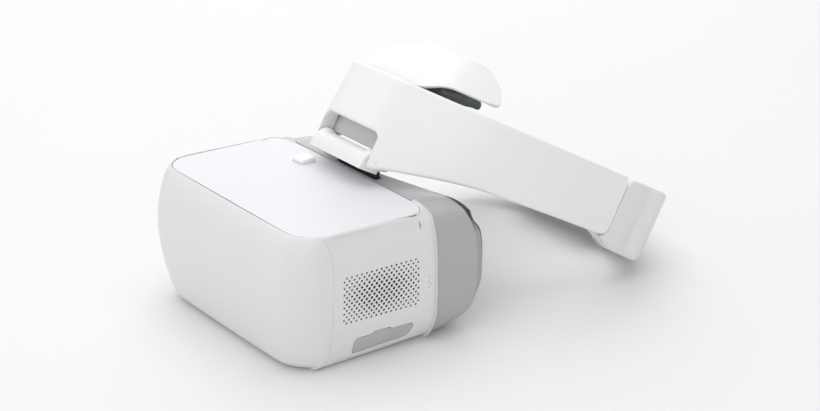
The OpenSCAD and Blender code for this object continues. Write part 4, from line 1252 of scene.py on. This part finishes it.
def hinge_block():
    """The white knuckle in the band's slot: rounded nose, two ears and the pin's end."""
    half, sections = SLOT_HALF - 0.7, []
    a = np.radians(np.linspace(184, 40, 18))
    for x in [-half, -half + 0.4, -half + 1.0, *np.linspace(-half + 7.2, half - 7.2, 12), half - 1.0,
              half - 0.4, half]:
        ear = abs(x) > half - 7.0
        shrink = max(0.0, 1.0 - (half - abs(x))) * 0.8
        r = 9.4 - shrink + (0.0 if not ear else 0.0)
        nose = [(9.6 + r * math.cos(t), 3.2 + r * math.sin(t)) for t in a]
        body = [(17.6 - shrink, -1.2 + shrink * 0.5), (0.4 + shrink, -1.2 + shrink * 0.5), *nose,
                (17.6 - shrink, 8)]
        o = np.array(body)
        sections.append(band_point(np.full(len(o), x), o[:, 0], o[:, 1]))
    points, faces = tube(sections)
    block = make("hinge_block_skin", points, faces, angle=45)
    ears = []
    t = np.linspace(0, 2 * math.pi, 36, endpoint=False)
    for sx in (-1, 1):
        rings = [(6.2, 0.0), (7.2, 0.9), (7.4, 1.8), (7.4, 5.6), (7.0, 6.4), (5.8, 6.8)]
        ears.append(tube([band_point(sx * (half - 0.1 - d), 10 + r * np.cos(t), 7 + r * np.sin(t)) for r,
                          d in rings]))
    add = block.modifiers.new("ears", "BOOLEAN")
    add.operation, add.object, add.solver = "UNION", make("ears", *joined(ears), weighted=False), "EXACT"
    knuckle = add.object
    block.modifiers.move(len(block.modifiers) - 1, 0)
    bake(block, 45)
    bpy.data.objects.remove(knuckle)
    bore = tube([band_point(x, 10 + 2.6 * np.cos(t), 7 + 2.6 * np.sin(t)) for x in (-40, 40)])
    peg = tube([band_point(12.5 + 1.5 * np.cos(t[::3]), 10 + 1.5 * np.sin(t[::3]), v) for v in (10.6, 20)])
    combine(block, make("bore", *joined([bore, peg]), weighted=False), angle=45)
    return weight(block)


def hinge_neck():
    """The dark post that ties the knuckle to the housing."""
    rings = []
    for z, w, y0, y1 in ((93.6, 22.6, 43.6, 48.1), (98.0, 22.6, 43.6, 48.1), (100.5, 22.4, 43.4, 48.3),
                         (103.2, 22.2, 43.0, 49.0), (105.6, 22.0, 42.4, 49.6)):
        o = rounded_outline([(-w, y0), (w, y0), (w, y1), (-w, y1)], 1.4)
        rings.append(np.column_stack([o, np.full(len(o), z)]))
    return make("hinge_neck_skin", *tube(rings), angle=50)


# ---------------------------------------------------------------- settings
class GogglesColours(bpy.types.PropertyGroup):
    """Colours of the finishes."""
    white: FloatVectorProperty(name="White shell", description="Front shell and side panels",
                               subtype="COLOR", default=(0.74, 0.755, 0.745))
    cover: FloatVectorProperty(name="Top cover", description="Smooth lid of the display unit",
                               subtype="COLOR", default=(0.745, 0.755, 0.775))
    band: FloatVectorProperty(name="Headband", description="Arms, forehead plate and hinge knuckle",
                              subtype="COLOR", default=(0.85, 0.855, 0.865))
    rear: FloatVectorProperty(name="Rear module", description="Block at the back of the headband",
                              subtype="COLOR", default=(0.76, 0.77, 0.77))
    button: FloatVectorProperty(name="Buttons", description="Top key and side keys", subtype="COLOR",
                                default=(0.86, 0.87, 0.88))
    underside: FloatVectorProperty(name="Underside", description="Bottom cover", subtype="COLOR",
                                   default=(0.62, 0.63, 0.63))
    housing: FloatVectorProperty(name="Housing", description="Silver grey paint of the rear housing",
                                 subtype="COLOR", default=(0.43, 0.44, 0.44))
    rim_side: FloatVectorProperty(name="Rim at the cheeks", description="Face rim below the brow",
                                  subtype="COLOR", default=(0.37, 0.38, 0.38))
    # painted shade: the near-black that the face rim is painted towards the brow
    rim_brow_painted_shade: FloatVectorProperty(name="Rim at the brow", description="Face rim along the top",
                                  subtype="COLOR", default=(0.012, 0.013, 0.012))
    liner: FloatVectorProperty(name="Liner", description="Inside of the headband", subtype="COLOR",
                               default=(0.55, 0.56, 0.57))
    black: FloatVectorProperty(name="Black plastic", description="Optics carrier and fan", subtype="COLOR",
                               default=(0.018, 0.018, 0.02))
    dial: FloatVectorProperty(name="Dials", description="Rear dial and lens wheel", subtype="COLOR",
                              default=(0.16, 0.165, 0.17))
    touch: FloatVectorProperty(name="Touch plate", description="Smooth plate on the right side",
                               subtype="COLOR", default=(0.66, 0.67, 0.68))
    port: FloatVectorProperty(name="Port flap", description="Grey rubber flap", subtype="COLOR",
                              default=(0.48, 0.485, 0.48))
    # painted shade: dark grey of the strip that darkens the groove round the top cover
    groove_shade: FloatVectorProperty(name="Seam strip", description="Strip in the groove round the top cover",
                                subtype="COLOR", default=(0.22, 0.23, 0.23))
    foam: FloatVectorProperty(name="Face foam", description="Foam ring round the face opening",
                              subtype="COLOR", default=(0.022, 0.022, 0.024))
    pad: FloatVectorProperty(name="Pads", description="Cloth of the forehead and rear pads",
                             subtype="COLOR", default=(0.075, 0.082, 0.085))


class GogglesSizes(bpy.types.PropertyGroup):
    """Sizes that a user would change."""
    pad_swell: FloatProperty(name="Pad swell", description="Most that a pad's skin may swell",
                             default=0.0022, subtype="DISTANCE", unit="LENGTH")
    camera_lens: FloatProperty(name="Lens", description="Focal length of the camera in millimetres",
                               default=87.8)
    floor_size: FloatProperty(name="Floor", description="Width of the pale floor", default=12.0,
                              subtype="DISTANCE", unit="LENGTH")
    key_light: FloatProperty(name="Overhead light",
                             description="Power of the large overhead light in watts", default=20.0)


class BuildStep(bpy.types.Operator):
    """One group of pieces."""
    bl_options = {"REGISTER"}


class GOGGLES_OT_white_shell(BuildStep):
    """Front shell and both side panels."""
    bl_idname, bl_label = "goggles.white_shell", "White shell"

    def execute(self, context):
        white = finish("white")
        place(front_shell(), "display_unit", white, "white_shell", "front_shell")
        place(left_panel(), "display_unit", white, "side_white", "side_panel_left")
        place(right_panel(), "display_unit", white, "side_white", "side_panel_right")
        place(port_bay(), "display_unit", finish("black"), "side_white")
        place(dust_mesh(), "display_unit", finish("black"), "side_white")
        # the dark strip in the cover's groove is painted shade
        place(groove_shade_strip(), "display_unit", finish("groove_shade"), "cover_white")
        return {"FINISHED"}


class GOGGLES_OT_top_cover(BuildStep):
    """The lid of the display unit."""
    bl_idname, bl_label = "goggles.top_cover", "Top cover"

    def execute(self, context):
        place(top_cover(), "display_unit", finish("cover"), "cover_white", "top_cover")
        return {"FINISHED"}


class GOGGLES_OT_housing(BuildStep):
    """The silver grey housing behind the seam."""
    bl_idname, bl_label = "goggles.housing", "Rear housing"

    def execute(self, context):
        place(housing(), "display_unit", finish("housing"), "housing_grey", "rear_housing")
        return {"FINISHED"}


class GOGGLES_OT_face_side(BuildStep):
    """The rim and the foam cushion of the face opening."""
    bl_idname, bl_label = "goggles.face_side", "Face rim and cushion"

    def execute(self, context):
        # the rim's finish carries painted shade at the brow
        place(face_rim(), "display_unit", finish("rim"), "frame_grey", "face_frame")
        foam = cushion()
        place(foam, "display_unit", finish("foam"), "cushion_foam", "face_cushion")
        return {"FINISHED"}


class GOGGLES_OT_keys(BuildStep):
    """The top key, the touch plate and the port flap."""
    bl_idname, bl_label = "goggles.keys", "Keys and flap"

    def execute(self, context):
        place(top_button(), "top_key", finish("button"), "button_white", "top_button")
        place(touch_plate(), "display_unit", finish("touch"), "touch_grey", "touch_pad")
        place(port_flap(), "flap", finish("port"), "port_rubber", "port_cover")
        return {"FINISHED"}


class GOGGLES_OT_hinge(BuildStep):
    """The knuckle that carries the headband and its post."""
    bl_idname, bl_label = "goggles.hinge", "Hinge"

    def execute(self, context):
        place(hinge_block(), "display_unit", finish("band"), "hinge_white", "hinge_block")
        place(hinge_neck(), "display_unit", finish("black"), "black_plastic", "hinge_neck")
        return {"FINISHED"}


class GOGGLES_OT_headband(BuildStep):
    """The rigid band with its slot, its liner, and the forehead plate."""
    bl_idname, bl_label = "goggles.headband", "Headband"

    def execute(self, context):
        place(band_sweep("band_shell_skin", 0.0, -12.0, 2.2, ARM_END), "headband", finish("band"),
              "band_white", "band_shell")
        place(liner(), "headband", finish("liner"), "liner_grey", "band_liner")
        place(forehead_plate(), "headband", finish("band"), "plate_white", "forehead_plate")
        return {"FINISHED"}


class GOGGLES_OT_rear_module(BuildStep):
    """The stepped block at the back of the head."""
    bl_idname, bl_label = "goggles.rear_module", "Rear module"

    def execute(self, context):
        place(rear_module(), "headband", finish("rear"), "rear_white", "rear_module")
        return {"FINISHED"}


class GOGGLES_OT_pads(BuildStep):
    """The forehead pad and the rear pad, swollen as stuffed cloth."""
    bl_idname, bl_label = "goggles.pads", "Pads"

    def execute(self, context):
        swell = context.scene.goggles_sizes.pad_swell / MM
        for maker, body, node in ((forehead_pad_block, "headband", "forehead_pad"),
                                  (rear_pad_block, "pad", "rear_pad")):
            pad = puff(maker(), swell, voxel=3.0)
            place(pad, body, finish("pad"), "pad_grey", node)
        return {"FINISHED"}


CARRIED = {
    "black": ["fan_housing", "fan_rotor", "speaker", "display_carrier", "light_baffle", "eyepiece_plate",
              "lens_carriage_left", "lens_carriage_right"],
    "dial": ["ipd_wheel", "pad_carriage", "adjust_dial"],
    "steel": ["case_screws", "hinge_bracket", "hinge_pin", "band_screws"],
    "lens": ["lens_left", "lens_right"], "aluminium": ["heat_sink"], "mainboard": ["mainboard"],
    "io": ["io_board"],
    "band_board": ["band_board"], "screen": ["display_panel"], "window": ["proximity_window"],
    "wrap": ["battery_left", "battery_right"],
    "underside": ["bottom_cover"], "liner": ["rear_liner"], "button": ["power_button", "back_button"],
}
SOFT_EDGE = {"ipd_wheel": 0.25, "adjust_dial": 0.35, "pad_carriage": 0.4, "bottom_cover": 0.25,
             "power_button": 0.3, "back_button": 0.3,
             "rear_liner": 0.3, "display_carrier": 0.3, "lens_carriage_left": 0.25,
             "lens_carriage_right": 0.25, "battery_left": 0.8,
             "battery_right": 0.8, "heat_sink": 0.2, "fan_housing": 0.4, "case_screws": 0.12,
             "band_screws": 0.12}


class GOGGLES_OT_carried_parts(BuildStep):
    """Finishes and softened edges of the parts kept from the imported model."""
    bl_idname, bl_label = "goggles.carried_parts", "Inner parts"

    def execute(self, context):
        for name, nodes in CARRIED.items():
            for n in nodes:
                obj = NODES[n]
                obj.data.materials.clear()
                obj.data.materials.append(finish(name))
                if n in SOFT_EDGE:
                    round_edges(obj, SOFT_EDGE[n], 2, 40)
        # Meant to draw the plate back from the side walls, whose skins lie too far in at its top corner.
        ease_back = NODES["eyepiece_plate"].modifiers.new("clear_of_walls", "DISPLACE")
        ease_back.strength, ease_back.mid_level = -0.9 * MM, 0.0
        return {"FINISHED"}


class GOGGLES_OT_stage(BuildStep):
    """Pale floor, soft light and the camera."""
    bl_idname, bl_label = "goggles.stage", "Stage"

    def execute(self, context):
        scene, sizes = context.scene, context.scene.goggles_sizes
        bpy.ops.mesh.primitive_plane_add(size=sizes.floor_size)
        floor = context.object
        floor.name = "pale_floor"
        f = Finish("pale_floor")
        cloud = f.noise(3.0, 2.0)
        floor.data.materials.append(f.surface(Base_Color=f.mix(cloud, (0.82, 0.82, 0.82, 1),
                                                               (0.84, 0.84, 0.84, 1)), Roughness=0.9))
        world = bpy.data.worlds.new("studio")
        world.use_nodes = True
        world.node_tree.nodes["Background"].inputs[0].default_value = (1.0, 1.0, 1.0, 1)
        world.node_tree.nodes["Background"].inputs[1].default_value = 0.56
        scene.world = world
        for name, at, aim, size, power, color in (
                ("overhead", (-0.2, 0.1, 1.9), (0, 0.05, 0.05), 2.2, sizes.key_light, (0.985, 0.99, 1.0)),
                ("far_panel", (-1.5, 1.15, 0.95), (0, 0.05, 0.08), 1.8, 11.5, (0.99, 0.995, 1.0)),
                ("side_fill", (1.6, -1.3, 0.9), (0, 0.0, 0.06), 1.6, 10.0, (1.0, 1.0, 0.99)),
                ("front_fill", (-1.4, -1.6, 0.8), (0, 0.0, 0.06), 1.6, 6.0, (1.0, 1.0, 1.0))):
            lamp = bpy.data.lights.new(name, "AREA")
            lamp.shape, lamp.size, lamp.energy, lamp.color = "SQUARE", size, power, color
            obj = bpy.data.objects.new(name, lamp)
            scene.collection.objects.link(obj)
            obj.location = at
            obj.rotation_euler = (Vector(aim) - Vector(at)).to_track_quat("-Z", "Y").to_euler()
        cam = bpy.data.cameras.new("camera")
        cam.lens, cam.sensor_width = sizes.camera_lens, 36.0
        cam.clip_start, cam.clip_end = 0.05, 50.0
        view = bpy.data.objects.new("camera", cam)
        scene.collection.objects.link(view)
        a, e, roll = math.radians(53.202), math.radians(22.295), math.radians(0.123)
        back = Vector((math.sin(a) * math.cos(e), -math.cos(a) * math.cos(e), math.sin(e)))
        right = Vector((math.cos(a), math.sin(a), 0))
        up = back.cross(right)
        turned = Matrix((right, up, back)).transposed() @ Matrix.Rotation(roll, 3, "Z")
        view.matrix_world = Matrix.Translation((1.0812, -0.7178, 0.6116)) @ turned.to_4x4()
        scene.camera = view
        scene.view_settings.view_transform = "Standard"
        return {"FINISHED"}


STEPS = (GOGGLES_OT_stage, GOGGLES_OT_white_shell, GOGGLES_OT_top_cover, GOGGLES_OT_housing,
         GOGGLES_OT_face_side, GOGGLES_OT_keys,
         GOGGLES_OT_hinge, GOGGLES_OT_headband, GOGGLES_OT_rear_module, GOGGLES_OT_pads,
         GOGGLES_OT_carried_parts)


class GOGGLES_PT_panel(bpy.types.Panel):
    """Lists the build steps, sizes and colours."""
    bl_idname, bl_label = "GOGGLES_PT_panel", "Goggles"
    bl_space_type, bl_region_type, bl_category = "VIEW_3D", "UI", "Goggles"

    def draw(self, context):
        for step in STEPS:
            self.layout.operator(step.bl_idname)
        for group in (context.scene.goggles_sizes, context.scene.goggles_colours):
            for key in group.__annotations__:
                self.layout.prop(group, key)


CLASSES = (GogglesColours, GogglesSizes, *STEPS, GOGGLES_PT_panel)


def register():
    for c in CLASSES:
        bpy.utils.register_class(c)
    bpy.types.Scene.goggles_colours = PointerProperty(type=GogglesColours)
    bpy.types.Scene.goggles_sizes = PointerProperty(type=GogglesSizes)


def unregister():
    del bpy.types.Scene.goggles_sizes
    del bpy.types.Scene.goggles_colours
    for c in reversed(CLASSES):
        bpy.utils.unregister_class(c)


def main():
    register()
    for step in STEPS:
        group, name = step.bl_idname.split(".")
        getattr(getattr(bpy.ops, group), name)()


if __name__ == "__main__":
    main()
